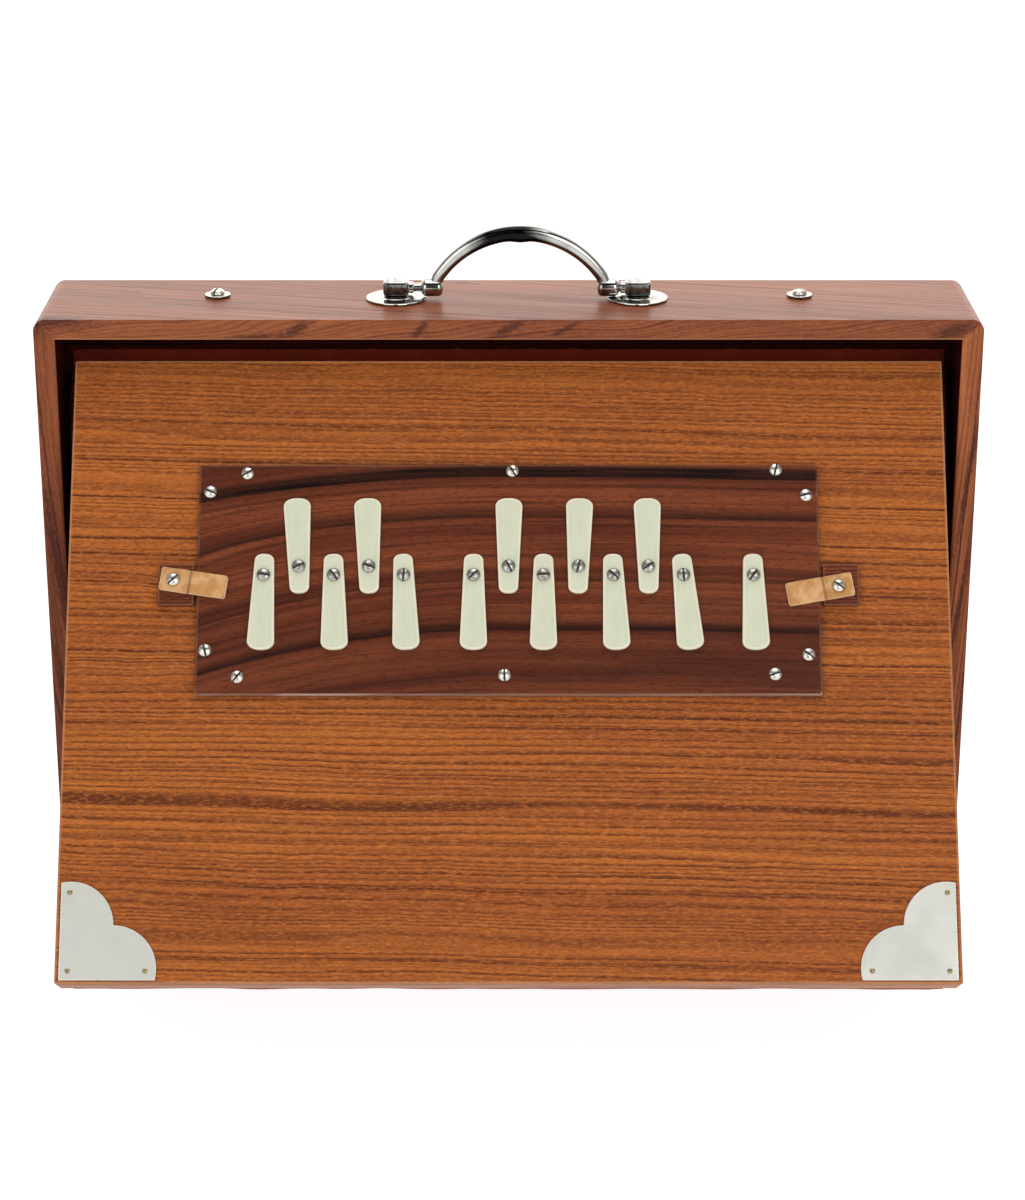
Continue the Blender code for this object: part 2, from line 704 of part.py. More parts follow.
def make_chest_frame(chest, materials):
    """Rails and stiles that the face board is glued to."""
    wood = materials["pale_teak"]
    middle_y = (FRAME_BACK + FRAME_FRONT) / 2
    stile_height = CHEST_HEIGHT - 2 * (FRAME_BAR + FIT)
    stile_x = (CHEST_WIDTH - FRAME_BAR) / 2
    for name, z in (("chest_top_rail", -FRAME_BAR / 2), ("chest_bottom_rail", FRAME_BAR / 2 - CHEST_HEIGHT)):
        box(name, (CHEST_WIDTH, FRAME_DEPTH, FRAME_BAR), wood, (0, middle_y, z), chest)
    for name, x in (("chest_left_stile", -stile_x), ("chest_right_stile", stile_x)):
        box(name, (FRAME_BAR, FRAME_DEPTH, stile_height), wood, (x, middle_y, -CHEST_HEIGHT / 2), chest)


def tongues():
    """Every tongue as name, x, row height, way of its wide end, tail length and lean."""
    found = []
    for place_index, lean in zip(UPPER_PLACES, UPPER_LEANS):
        found.append((place_index * TONGUE_PITCH, UPPER_ROW, 1, UPPER_TAIL, lean))
    for i, lean in enumerate(LOWER_LEANS):
        x = (i - (len(LOWER_LEANS) - 1) / 2) * TONGUE_PITCH
        found.append((x, LOWER_ROW, -1, LOWER_TAIL, lean))
    return [("tongue_%02d" % (i + 1), *facts) for i, facts in enumerate(found)]


def plate_screw_places():
    """The key plate's ten screws, from its edges."""
    far_x = PLATE_WIDTH / 2 - PLATE_SCREW_FAR_INSET
    side_x = PLATE_WIDTH / 2 - PLATE_SCREW_SIDE_INSET
    top = PLATE_TOP - PLATE_SCREW_TOP_INSET
    foot = PLATE_TOP - PLATE_HEIGHT + PLATE_SCREW_FOOT_INSET
    side_top = PLATE_TOP - PLATE_SCREW_SIDE_DROP
    side_foot = PLATE_TOP - PLATE_HEIGHT + PLATE_SCREW_SIDE_RISE
    places = [(x, z) for z in (top, foot) for x in (-far_x, 0, far_x)]
    return places + [(x, z) for z in (side_top, side_foot) for x in (-side_x, side_x)]


def tab_facts():
    """Each tab as word, side, crease beside the plate and above the blocks' middle, turn and screw reach."""
    return (
        ("left", -1, LEFT_TAB_CREASE, LEFT_TAB_RISE, LEFT_TAB_LEAN, LEFT_TAB_SCREW_REACH),
        ("right", 1, RIGHT_TAB_CREASE, RIGHT_TAB_RISE, -RIGHT_TAB_LEAN, RIGHT_TAB_SCREW_REACH),
    )


def sound_hole_rods(front, back):
    """A hole under the wide end of every tongue when it stands straight."""
    middle = (front + back) / 2
    return [
        ((x, middle, z + way * SOUND_HOLE_REACH), SOUND_HOLE_RADIUS, abs(back - front))
        for name, x, z, way, tail, lean in tongues()
    ]


def make_face(chest, materials):
    """The veneered face of the chest, with the sound holes."""
    outline = rectangle(CHEST_WIDTH, CHEST_HEIGHT)
    centre = (0, (FACE_BACK + FACE_FRONT) / 2, -CHEST_HEIGHT / 2)
    face = slab("chest_face", outline, FACE_THICKNESS, materials["face_teak"], centre, parent=chest)
    chamfer_rim(face, FACE_CHAMFER)
    drill(face, sound_hole_rods(FACE_FRONT - FACE_THICKNESS, FACE_BACK + FACE_THICKNESS), "Y", chest)


def make_key_plate(chest, materials):
    """The plate under the tongues, carrying its own screws and the screws that the tongues turn on."""
    outline = rounded(rectangle(PLATE_WIDTH, PLATE_HEIGHT), PLATE_CHAMFER)
    centre = (0, (PLATE_BACK + PLATE_FRONT) / 2, PLATE_MIDDLE)
    plate = slab("key_plate", outline, PLATE_THICKNESS, materials["rosewood"], centre, parent=chest)
    chamfer_rim(plate, PLATE_CHAMFER)
    drill(plate, sound_hole_rods(PLATE_FRONT - PLATE_THICKNESS, PLATE_BACK + PLATE_THICKNESS), "Y", chest)
    groups = (
        ("plate_screws", plate_screw_places(), PLATE_FRONT),
        ("tongue_screws", [(x, z) for name, x, z, way, tail, lean in tongues()], TONGUE_FRONT - FIT),
    )
    root = PLATE_FRONT + PLATE_THICKNESS / 2
    for name, places, seat in groups:
        source = slotted_screw_mesh(
            name, SCREW_HEAD_RADIUS, SCREW_HEAD_HEIGHT, SCREW_SHANK_RADIUS, root - seat)
        matrices = [facing_front_at(x, seat, z, slot_angle(i)) for i, (x, z) in enumerate(places)]
        join_copies(plate, name, source, matrices, chest)


def domed_end(half_width, steps=8):
    """Points over a tongue's end from right to left, domed, with full shoulders."""
    points = []
    for i in range(steps + 1):
        across = math.cos(math.pi * i / steps)
        x = half_width * math.copysign(abs(across) ** TONGUE_END_FULLNESS, across)
        points.append((x, TONGUE_END_DEPTH * math.sin(math.pi * i / steps)))
    return points


def tongue_outline(tail):
    """A tongue seen from the front, its wide end up and its screw at the origin."""
    shoulder = TONGUE_LENGTH - tail - TONGUE_END_DEPTH
    heel = TONGUE_END_DEPTH - tail
    wide = [(x, shoulder + y) for x, y in domed_end(TONGUE_WIDE / 2)]
    narrow = [(-x, heel - y) for x, y in domed_end(TONGUE_NARROW / 2)]
    return wide + narrow


def make_tongues(chest, materials):
    """Tapered tongues that swing aside on their screws, each with its origin on its screw."""
    rod = [((0, 0, 0), SCREW_SHANK_RADIUS + FIT, 2 * TONGUE_THICKNESS)]
    hole_mesh = rod_mesh("tongue_hole", rod, "Z")
    for name, x, z, way, tail, lean in tongues():
        turn = math.radians(lean) if way > 0 else math.pi - math.radians(lean)
        centre = (x, (TONGUE_BACK + TONGUE_FRONT) / 2, z)
        outline = tongue_outline(tail)
        tongue = slab(
            name, outline, TONGUE_THICKNESS, materials["ivory"], centre, (math.pi / 2, turn, 0), chest)
        chamfer_rim(tongue, TONGUE_CHAMFER)
        hole = as_cutter(bpy.data.objects.new(name + "_hole", hole_mesh), tongue)
        combine(tongue, hole, "DIFFERENCE")


def make_corner_plates(chest, materials):
    """Plates whose inner edge is two lobes that meet in a notch, each held by three nails."""
    shift = CORNER_LOBE_SHIFT
    radius = CORNER_LOBE_RADIUS
    end = math.asin(shift / radius)
    across = arc((shift + radius, shift), radius, -end, math.pi / 2, 8)
    upward = arc((shift, shift + radius), radius, 0, math.pi / 2 + end, 8)
    outline = [(0, 0), *across, *upward[1:]]
    far = shift + 2 * radius - NAIL_LOBE_INSET
    nail_places = ((NAIL_INSET, NAIL_INSET), (NAIL_INSET, far), (far, NAIL_INSET))
    nail_profile = [
        (0, NAIL_HEAD_HEIGHT),
        (NAIL_HEAD_RADIUS * 0.7, NAIL_HEAD_HEIGHT * 0.7),
        (NAIL_HEAD_RADIUS, 0),
        (NAIL_HEAD_RADIUS, -CORNER_THICKNESS / 2),
        (0, -CORNER_THICKNESS / 2),
    ]
    nail = turned_mesh("nail", nail_profile, 10)
    edge_x = CHEST_WIDTH / 2 - CORNER_INSET
    for word, side in (("left", -1), ("right", 1)):
        shape = outline if side < 0 else [(-x, y) for x, y in reversed(outline)]
        centre = (side * edge_x, (CORNER_BACK + CORNER_FRONT) / 2, CORNER_INSET - CHEST_HEIGHT)
        name = "corner_plate_" + word
        plate = slab(name, shape, CORNER_THICKNESS, materials["aluminium"], centre, parent=chest)
        matrices = [Matrix.Translation((-side * x, y, CORNER_THICKNESS / 2)) for x, y in nail_places]
        join_copies(plate, name + "_nails", nail, matrices, plate)


def make_tabs(chest, materials):
    """Leather straps screwed to blocks, each a root and a flap that lifts at the crease."""
    seat = TAB_FRONT - FIT
    length = PLATE_FRONT + PLATE_THICKNESS / 2 - seat
    screw = slotted_screw_mesh("tab_screw", SCREW_HEAD_RADIUS, SCREW_HEAD_HEIGHT, SCREW_SHANK_RADIUS, length)
    for i, (word, side, outward, rise, turn, reach) in enumerate(tab_facts()):
        crease = (side * (PLATE_WIDTH / 2 + outward), TAB_FRONT, TAB_MIDDLE + rise)
        crease_line = pivot("tab_crease_" + word, crease, (0, turn, 0), chest)
        block_x = side * (PLATE_WIDTH / 2 + TAB_BLOCK_GAP + TAB_BLOCK_WIDTH / 2)
        outline = rectangle(TAB_BLOCK_WIDTH, TAB_BLOCK_HEIGHT)
        centre = (block_x, (PLATE_BACK + PLATE_FRONT) / 2, TAB_MIDDLE)
        block = slab(
            "tab_block_" + word, outline, PLATE_THICKNESS, materials["rosewood"], centre, parent=chest)
        chamfer_rim(block, TAB_BLOCK_CHAMFER)
        spot = facing_front_at(side * reach, -FIT, 0, slot_angle(i))
        join_copies(block, "tab_screw_" + word, screw, [spot], crease_line)
        pieces = (("leather_tab_root_", side, TAB_ROOT_LENGTH), ("leather_tab_flap_", -side, TAB_FLAP_LENGTH))
        for prefix, way, length in pieces:
            outline = rounded(rectangle(length - FIT / 2, TAB_WIDTH), TAB_CORNER)
            middle = (way * (length + FIT / 2) / 2, TAB_THICKNESS / 2, 0)
            piece = slab(
                prefix + word, outline, TAB_THICKNESS, materials["leather"], middle, parent=crease_line)
            if way == side:
                bore = ((side * reach, TAB_THICKNESS / 2, 0), SCREW_SHANK_RADIUS + FIT, 2 * TAB_THICKNESS)
                drill(piece, [bore], "Y", crease_line)


def reed_rows():
    """Name, places and height of both rows of reeds."""
    upper = [x for name, x, z, way, tail, lean in tongues() if way > 0]
    lower = [x for name, x, z, way, tail, lean in tongues() if way < 0]
    return (
        ("upper", upper, UPPER_ROW + SOUND_HOLE_REACH),
        ("lower", lower, LOWER_ROW - SOUND_HOLE_REACH),
    )


def make_reeds(chest, materials):
    """Blocks with a cell behind each sound hole, and slotted plates that carry the reeds."""
    block_y = REED_BLOCK_BACK - REED_BLOCK_THICKNESS / 2
    plate_y = REED_PLATE_BACK - REED_PLATE_THICKNESS / 2
    root_size = (2 * REED_WIDTH, REED_PLATE_THICKNESS, REED_ROOT_LENGTH)
    reed_size = (REED_WIDTH, REED_THICKNESS, REED_SLOT_LENGTH + REED_ROOT_LENGTH / 2)
    root_z = (REED_SLOT_LENGTH + REED_ROOT_LENGTH) / 2
    root = box_mesh("reed_root", root_size)
    root.transform(Matrix.Translation((0, REED_PLATE_THICKNESS / 2, root_z)))
    reed = box_mesh("reed", reed_size)
    lift = REED_PLATE_THICKNESS / 2 + FIT + REED_THICKNESS / 2
    reed.transform(Matrix.Translation((0, lift, REED_ROOT_LENGTH / 4)))
    for word, xs, z in reed_rows():
        left = min(xs) - REED_BLOCK_MARGIN
        right = max(xs) + REED_BLOCK_MARGIN
        middle = (left + right) / 2
        block_size = (right - left, REED_BLOCK_THICKNESS, REED_BLOCK_HEIGHT)
        block = box(
            "reed_block_" + word, block_size, materials["inner_ply"], (middle, block_y, z), chest)
        cell = (REED_CELL_WIDTH, 2 * REED_BLOCK_THICKNESS, REED_CELL_LENGTH)
        cut_boxes(block, [((x, block_y, z), cell) for x in xs], chest)
        plate_size = (right - left - 2 * REED_PLATE_MARGIN, REED_PLATE_THICKNESS, REED_PLATE_HEIGHT)
        plate = box("reed_plate_" + word, plate_size, materials["brass"], (middle, plate_y, z), chest)
        slot = (REED_SLOT_WIDTH, 2 * REED_PLATE_THICKNESS, REED_SLOT_LENGTH)
        cut_boxes(plate, [((x, plate_y, z), slot) for x in xs], chest)
        places = [Matrix.Translation((x, plate_y, z)) for x in xs]
        join_copies(plate, "reed_roots_" + word, root, places, chest)
        join_copies(plate, "reeds_" + word, reed, places, chest)


def spring_path(side):
    """Leg along the face board, coil, and leg back to the centre board, in the chest's frame."""
    coil_y = FACE_BACK + FIT + SPRING_WIRE_RADIUS + SPRING_COIL_RADIUS
    coil = Vector((coil_y, -SPRING_DROP))
    rest = Vector((0, HINGE_OFFSET - FIT - SPRING_WIRE_RADIUS, -SPRING_BOARD_DROP))
    tip = Matrix.Rotation(OPEN_ANGLE, 3, "X") @ rest
    away = Vector((tip.y, tip.z)) - coil
    leave = math.atan2(away.y, away.x) + math.acos(SPRING_COIL_RADIUS / away.length)
    sweep = math.pi - leave + 2 * math.pi
    steps = round(sweep / (2 * math.pi) * SPRING_TURN_POINTS)
    climb = SPRING_PITCH * sweep / (2 * math.pi)
    points = [(side * SPRING_PLACE, coil.x - SPRING_COIL_RADIUS, coil.y - SPRING_FACE_LEG)]
    for i in range(steps + 1):
        angle = math.pi - sweep * i / steps
        points.append((
            side * (SPRING_PLACE + climb * i / steps),
            coil.x + SPRING_COIL_RADIUS * math.cos(angle),
            coil.y + SPRING_COIL_RADIUS * math.sin(angle),
        ))
    points.append((side * (SPRING_PLACE + climb), tip.y, tip.z))
    return points


def wire(name, points, radius, material, parent=None):
    """A round wire along points."""
    curve = bpy.data.curves.new(name, "CURVE")
    curve.dimensions = "3D"
    curve.bevel_depth = radius
    curve.bevel_resolution = 2
    curve.use_fill_caps = True
    spline = curve.splines.new("POLY")
    spline.points.add(len(points) - 1)
    for point, position in zip(spline.points, points):
        point.co = (*position, 1)
    return place(bpy.data.objects.new(name, curve), material, parent=parent)


def make_springs(chest, materials):
    """Two wire springs inside the bellows that push the chest open."""
    for word, side in (("left", -1), ("right", 1)):
        wire("opening_spring_" + word, spring_path(side), SPRING_WIRE_RADIUS, materials["spring_steel"], chest)


def make_pump_board(materials):
    """The rear board that the player pumps, on its own hinge, with its intake valves."""
    hinge = pivot("pump_hinge", REAR_HINGE)
    middle = HINGE_OFFSET + PUMP_THICKNESS / 2
    outline = rectangle(PUMP_WIDTH, PUMP_HEIGHT)
    board = slab(
        "pump_board", outline, PUMP_THICKNESS, materials["case_teak"], (0, middle, -PUMP_HEIGHT / 2),
        parent=hinge)
    chamfer_rim(board, PUMP_CHAMFER, both_sides=True)
    drill(board, valve_hole_rods(-INTAKE_DROP, middle, PUMP_THICKNESS), "Y", hinge)
    make_valves("intake", -INTAKE_DROP, HINGE_OFFSET, materials, hinge)


def handle_y():
    """Depth of the handle's axis."""
    return CASE_FRONT + HANDLE_SETBACK


def post_places():
    """Where the handle's posts stand, left and right."""
    return (HANDLE_SHIFT - POST_SPACING / 2, HANDLE_SHIFT + POST_SPACING / 2)


def make_handle_posts(materials):
    """Round discs on the case and posts on them, with a stud down and a pin towards the bow."""
    disc_z = CASE_HEIGHT + FIT
    bore = STUD_RADIUS + FIT
    profile = [
        (bore, DISC_THICKNESS),
        (DISC_BOSS_RADIUS - DISC_RIM, DISC_THICKNESS),
        (DISC_BOSS_RADIUS, DISC_RIM),
        (DISC_RADIUS - DISC_RIM / 2, DISC_RIM),
        (DISC_RADIUS, DISC_RIM / 2),
        (DISC_RADIUS, 0),
        (bore, 0),
        (bore, DISC_THICKNESS),
    ]
    disc = turned_mesh("handle_disc", profile, 28)
    foot = disc_z + DISC_THICKNESS + FIT - CASE_HEIGHT
    height = POST_TOP - foot
    for word, x, way in (("left", post_places()[0], 1), ("right", post_places()[1], -1)):
        disc_piece = bpy.data.objects.new("handle_disc_" + word, disc.copy())
        place(disc_piece, materials["chrome"], (x, handle_y(), disc_z))
        name = "handle_post_" + word
        centre = (x, handle_y(), CASE_HEIGHT + foot + height / 2)
        post = box(name, (POST_WIDTH, POST_DEPTH, height), materials["chrome"], centre)
        soften(post, POST_ROUND, 2)
        stud_length = foot + STUD_BITE - FIT + height / 2
        pin_z = PIN_HEIGHT - foot - height / 2
        pin_x = way * (POST_WIDTH / 2 + PIN_REACH) / 2
        rods = (
            ("_stud", (0, 0, -stud_length / 2), STUD_RADIUS, stud_length, "Z"),
            ("_pin", (pin_x, 0, pin_z), PIN_RADIUS, POST_WIDTH / 2 + PIN_REACH, "X"),
        )
        for suffix, middle, radius, length, along in rods:
            mesh = rod_mesh(name + suffix, [(middle, radius, length)], along)
            combine(post, as_cutter(bpy.data.objects.new(name + suffix, mesh), post), "UNION")


def bow_radius(angle, widest):
    """The bow's radius along its arc: thicker at the crown, with a small swell for the grip."""
    share = abs(angle) / widest
    swell = BOW_GRIP_SWELL * math.exp(-(angle * BOW_HALF_SPAN / BOW_GRIP_LENGTH) ** 2)
    return BOW_LEG_RADIUS + (BOW_CROWN_RADIUS - BOW_LEG_RADIUS) * math.cos(share * math.pi / 2) + swell


def make_handle_bow(materials):
    """The bow with a barrel at each foot, its origin on the pins' axis."""
    sagitta = BOW_RISE - BARREL_RADIUS * 0.8
    radius = (BOW_HALF_SPAN ** 2 + sagitta ** 2) / (2 * sagitta)
    widest = math.asin(BOW_HALF_SPAN / radius)
    curve = bpy.data.curves.new("bow_path", "CURVE")
    curve.dimensions = "3D"
    curve.bevel_depth = 1.0
    curve.bevel_resolution = 3
    curve.use_fill_caps = True
    spline = curve.splines.new("POLY")
    angles = [widest * (2 * i / BOW_STEPS - 1) for i in range(BOW_STEPS + 1)]
    stations = [(-BOW_HALF_SPAN, 0, BOW_LEG_RADIUS)]
    for angle in angles:
        height = BOW_RISE - radius * (1 - math.cos(angle))
        stations.append((radius * math.sin(angle), height, bow_radius(angle, widest)))
    stations.append((BOW_HALF_SPAN, 0, BOW_LEG_RADIUS))
    spline.points.add(len(stations) - 1)
    for point, (x, z, thickness) in zip(spline.points, stations):
        point.co = (x, 0, z, 1)
        point.radius = thickness
    drawn = as_cutter(bpy.data.objects.new("bow_path", curve))
    shape = bmesh.new()
    shape.from_mesh(evaluated_mesh(drawn))
    bpy.data.objects.remove(drawn)
    bmesh.ops.remove_doubles(shape, verts=shape.verts, dist=FIT / 30)
    centre = (HANDLE_SHIFT + BOW_SHIFT, handle_y(), CASE_HEIGHT + PIN_HEIGHT)
    bow = place(
        bpy.data.objects.new("handle_bow", mesh_from(shape, "handle_bow")), materials["chrome"], centre)
    barrel_profile = [
        (0, BARREL_LENGTH / 2),
        (BARREL_RADIUS - BARREL_ROUND, BARREL_LENGTH / 2),
        (BARREL_RADIUS, BARREL_LENGTH / 2 - BARREL_ROUND),
        (BARREL_RADIUS, BARREL_ROUND - BARREL_LENGTH / 2),
        (BARREL_RADIUS - BARREL_ROUND, -BARREL_LENGTH / 2),
        (0, -BARREL_LENGTH / 2),
    ]
    barrel_mesh = turned_mesh("barrel", barrel_profile, 20)
    outer_end = BARREL_PLACE + BARREL_LENGTH / 2
    for word, side in (("left", -1), ("right", 1)):
        barrel = as_cutter(bpy.data.objects.new("barrel_" + word, barrel_mesh), bow)
        barrel.location = (side * BARREL_PLACE, 0, 0)
        barrel.rotation_euler = (0, math.pi / 2, 0)
        combine(bow, barrel, "UNION")
    rods = [((side * outer_end, 0, 0), PIN_RADIUS + FIT, 2 * BORE_DEPTH) for side in (-1, 1)]
    drill(bow, rods, "X", bow)


def build():
    """Make every piece of the shruti box."""
    clear_scene()
    materials = make_materials()
    make_case(materials)
    make_centre_board(materials)
    make_case_screws(materials)
    make_hinge_cloth("front_hinge_cloth", FRONT_HINGE, FRONT_CLOTH_HEIGHT, False, materials)
    make_hinge_cloth("rear_hinge_cloth", REAR_HINGE, REAR_CLOTH_HEIGHT, True, materials)
    width = CHEST_WIDTH - 2 * BELLOWS_INSET
    make_bellows("front_bellows", FRONT_HINGE, width, CHEST_HEIGHT - BELLOWS_INSET, OPEN_ANGLE, materials)
    make_bellows("rear_bellows", REAR_HINGE, width, PUMP_HEIGHT - BELLOWS_INSET, 0, materials)
    chest = pivot("chest_hinge", FRONT_HINGE, (-OPEN_ANGLE, 0, 0))
    make_chest_frame(chest, materials)
    make_face(chest, materials)
    make_key_plate(chest, materials)
    make_tongues(chest, materials)
    make_tabs(chest, materials)
    make_corner_plates(chest, materials)
    make_reeds(chest, materials)
    make_springs(chest, materials)
    make_pump_board(materials)
    make_handle_posts(materials)
    make_handle_bow(materials)


build()
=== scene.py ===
import math

import bmesh
import bpy
import numpy as np
from mathutils import Matrix, Vector, noise


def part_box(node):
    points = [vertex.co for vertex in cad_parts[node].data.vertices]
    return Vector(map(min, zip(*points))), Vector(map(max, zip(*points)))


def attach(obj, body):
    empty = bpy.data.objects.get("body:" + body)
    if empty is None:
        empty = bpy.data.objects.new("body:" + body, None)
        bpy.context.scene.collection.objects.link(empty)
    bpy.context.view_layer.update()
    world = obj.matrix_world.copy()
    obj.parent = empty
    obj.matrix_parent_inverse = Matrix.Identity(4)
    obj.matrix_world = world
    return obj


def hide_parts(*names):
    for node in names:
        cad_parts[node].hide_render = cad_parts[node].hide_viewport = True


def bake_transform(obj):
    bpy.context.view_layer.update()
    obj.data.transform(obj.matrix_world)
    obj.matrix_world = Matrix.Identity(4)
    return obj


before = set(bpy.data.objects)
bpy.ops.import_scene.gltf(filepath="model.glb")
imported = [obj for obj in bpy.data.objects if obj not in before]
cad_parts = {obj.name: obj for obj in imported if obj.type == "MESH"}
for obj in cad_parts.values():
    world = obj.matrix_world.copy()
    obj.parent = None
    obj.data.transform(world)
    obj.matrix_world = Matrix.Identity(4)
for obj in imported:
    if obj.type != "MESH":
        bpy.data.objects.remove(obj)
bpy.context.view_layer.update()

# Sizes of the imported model, in metres
CASE_WIDTH, CASE_HEIGHT, CASE_DEPTH, CASE_WALL = 0.400, 0.309, 0.066, 0.009
CORNER_RADIUS = 0.005
FRONT_HINGE = Vector((0, -0.003, 0.2758))
REAR_HINGE = Vector((0, 0.013, 0.293))
OPEN_ANGLE = math.radians(34)
CHEST_WIDTH, CHEST_HEIGHT = 0.3693, 0.265
PUMP_WIDTH, PUMP_HEIGHT, PUMP_BACK = 0.378, 0.282, 0.013
FRAME_BAR = 0.014
FRAME_BACK, FRAME_FRONT = -0.003, -0.017
FACE_BACK, FACE_FRONT = -0.0173, -0.0213
PLATE_BACK, PLATE_FRONT = -0.0216, -0.0246
TONGUE_BACK, TONGUE_FRONT = -0.0249, -0.0267
PLATE_WIDTH, PLATE_HEIGHT, PLATE_TOP = 0.260, 0.0990, -0.0472
TAB_MIDDLE = PLATE_TOP - 0.0518
FIT = 0.0003

# Chest pieces are made in the frame of the chest's hinge and carried to their place by this
CHEST = Matrix.Translation(FRONT_HINGE) @ Matrix.Rotation(-OPEN_ANGLE, 4, "X")
FACING = Matrix.Rotation(math.pi / 2, 4, "X")

TONGUE_PITCH = 0.0292
UPPER = [(place * TONGUE_PITCH, PLATE_TOP - 0.0445, 1, 0.0114, lean) for place, lean in (
    (-3, -2.4), (-2, -1.6), (0, 0.4), (1, 1.3), (2, -0.5))]
LOWER = [((i - 3.5) * TONGUE_PITCH, PLATE_TOP - 0.0482, -1, 0.0092, lean) for i, lean in enumerate(
    (-1.7, 1.2, 2.4, 0.0, -0.2, 2.3, 5.1, 1.3))]
TONGUES = UPPER + LOWER
HANDLE = Vector((0.0036, 0.001, CASE_HEIGHT))


# Materials

class Nodes:
    """A short way to write a material's nodes."""

    def __init__(self, name, **surface):
        self.material = bpy.data.materials.new(name)
        self.material.use_nodes = True
        self.tree = self.material.node_tree
        shader = self.tree.nodes["Principled BSDF"]
        self.sockets = {socket.name.lower().replace(" ", "_"): socket for socket in shader.inputs}
        self.surface(**surface)

    def surface(self, **values):
        for name, value in values.items():
            self.join(self.sockets[name], value)

    def join(self, socket, value):
        if isinstance(value, bpy.types.NodeSocket):
            self.tree.links.new(value, socket)
        elif socket.type == "RGBA" and len(value) == 3:
            socket.default_value = (*value, 1.0)
        else:
            socket.default_value = value

    def add(self, kind, inputs, output=0, **settings):
        node = self.tree.nodes.new("ShaderNode" + kind)
        for key, value in settings.items():
            setattr(node, key, value)
        for key, value in inputs.items():
            self.join(node.inputs[key], value)
        return node.outputs[output]

    def place(self, chest=False):
        """Coordinates on the piece, in metres; on a CAD node of the chest, in the chest's own frame."""
        here = self.add("TexCoord", {}, output=3)
        if chest:
            return self.add("Mapping", {
                "Vector": here, "Location": FRONT_HINGE, "Rotation": (-OPEN_ANGLE, 0, 0)}, vector_type="TEXTURE")
        return here

    def attribute(self, name, output=2):
        return self.add("Attribute", {}, output=output, attribute_name=name)

    def stretched(self, vector, factors):
        return self.add("VectorMath", {0: vector, 1: factors}, operation="MULTIPLY")

    def noise(self, vector, factors, detail=3.0, roughness=0.55, distortion=0.0):
        return self.add("TexNoise", {
            "Vector": self.stretched(vector, factors), "Scale": 1.0, "Detail": detail,
            "Roughness": roughness, "Distortion": distortion})

    def span(self, value, low, high, to_low=0.0, to_high=1.0):
        return self.add("MapRange", {
            "Value": value, "From Min": low, "From Max": high, "To Min": to_low, "To Max": to_high},
            interpolation_type="SMOOTHSTEP")

    def maths(self, operation, a, b=0.0):
        return self.add("Math", {0: a, 1: b}, operation=operation)

    def mix(self, share, a, b, blend="MIX"):
        return self.add("Mix", {0: share, 6: a, 7: b}, output=2, data_type="RGBA", blend_type=blend)

    def darken(self, share, colour, by):
        return self.mix(share, colour, by, "MULTIPLY")

    def ramp(self, value, stops):
        node = self.tree.nodes.new("ShaderNodeValToRGB")
        self.join(node.inputs[0], value)
        elements = node.color_ramp.elements
        while len(elements) < len(stops):
            elements.new(0.5)
        for element, (position, level) in zip(elements, stops):
            element.position = position
            element.color = (level, level, level, 1.0)
        return node.outputs[0]

    def bump(self, height, distance, strength=1.0):
        self.surface(normal=self.add("Bump", {
            "Height": height, "Distance": distance, "Strength": strength}))


def along(axis, lengthwise, across):
    """Scale factors that draw a texture out along one axis."""
    factors = [across] * 3
    factors["XYZ".index(axis)] = lengthwise
    return tuple(factors)


def wandering(nodes, place, axis, reach, lean=(0.0, 0.0, 0.0)):
    """Coordinates pushed to and fro across the grain, so that no line runs straight, and leaning along it."""
    slow = nodes.maths("SUBTRACT", nodes.noise(place, along(axis, 6.0, 9.0), 2.0), 0.5)
    quick = nodes.maths("SUBTRACT", nodes.noise(place, along(axis, 60.0, 60.0), 4.0, 0.6), 0.5)
    push = nodes.maths("ADD", nodes.maths("MULTIPLY", slow, 2 * reach), nodes.maths("MULTIPLY", quick, 0.6 * reach))
    shift = nodes.stretched(nodes.add("CombineXYZ", {0: push, 1: push, 2: push}), along(axis, 0.0, 1.0))
    length = nodes.add("SeparateXYZ", {0: place}, output="XYZ".index(axis))
    slope = nodes.stretched(nodes.add("CombineXYZ", {0: length, 1: length, 2: length}), lean)
    moved = nodes.add("VectorMath", {0: place, 1: shift}, operation="ADD")
    return nodes.add("VectorMath", {0: moved, 1: slope}, operation="ADD")


def late_wood(nodes, count, start, salt, power):
    """Dark lines that gather towards the end of each ring and stop short, each ring with a strength of its own."""
    part = nodes.maths("FRACT", count)
    lot = nodes.add("TexWhiteNoise", {"W": nodes.maths("ADD", nodes.maths("FLOOR", count), salt)},
                    noise_dimensions="1D")
    line = nodes.maths("MULTIPLY", nodes.span(part, start, 0.93), nodes.span(part, 0.95, 1.0, 1.0, 0.0))
    return nodes.maths("MULTIPLY", nodes.maths("POWER", line, 2.0), nodes.maths("POWER", lot, power))


def mark(nodes, place, axis, centre, reach, lean):
    """How much of a dark mark is seen: a ragged spot of that reach, drawn out along a leaning line."""
    off = nodes.add("VectorMath", {0: place, 1: centre}, operation="SUBTRACT")
    length = nodes.add("SeparateXYZ", {0: off}, output="XYZ".index(axis))
    slope = nodes.stretched(nodes.add("CombineXYZ", {0: length, 1: length, 2: length}), lean)
    off = nodes.stretched(nodes.add("VectorMath", {0: off, 1: slope}, operation="ADD"), tuple(1 / r for r in reach))
    far = nodes.add("VectorMath", {0: off}, output=1, operation="LENGTH")
    ragged = nodes.maths("ADD", far, nodes.maths("MULTIPLY", nodes.noise(place, along(axis, 400.0, 1100.0), 3.0), 1.6))
    return nodes.span(ragged, 0.9, 2.0, 0.85, 0.0)


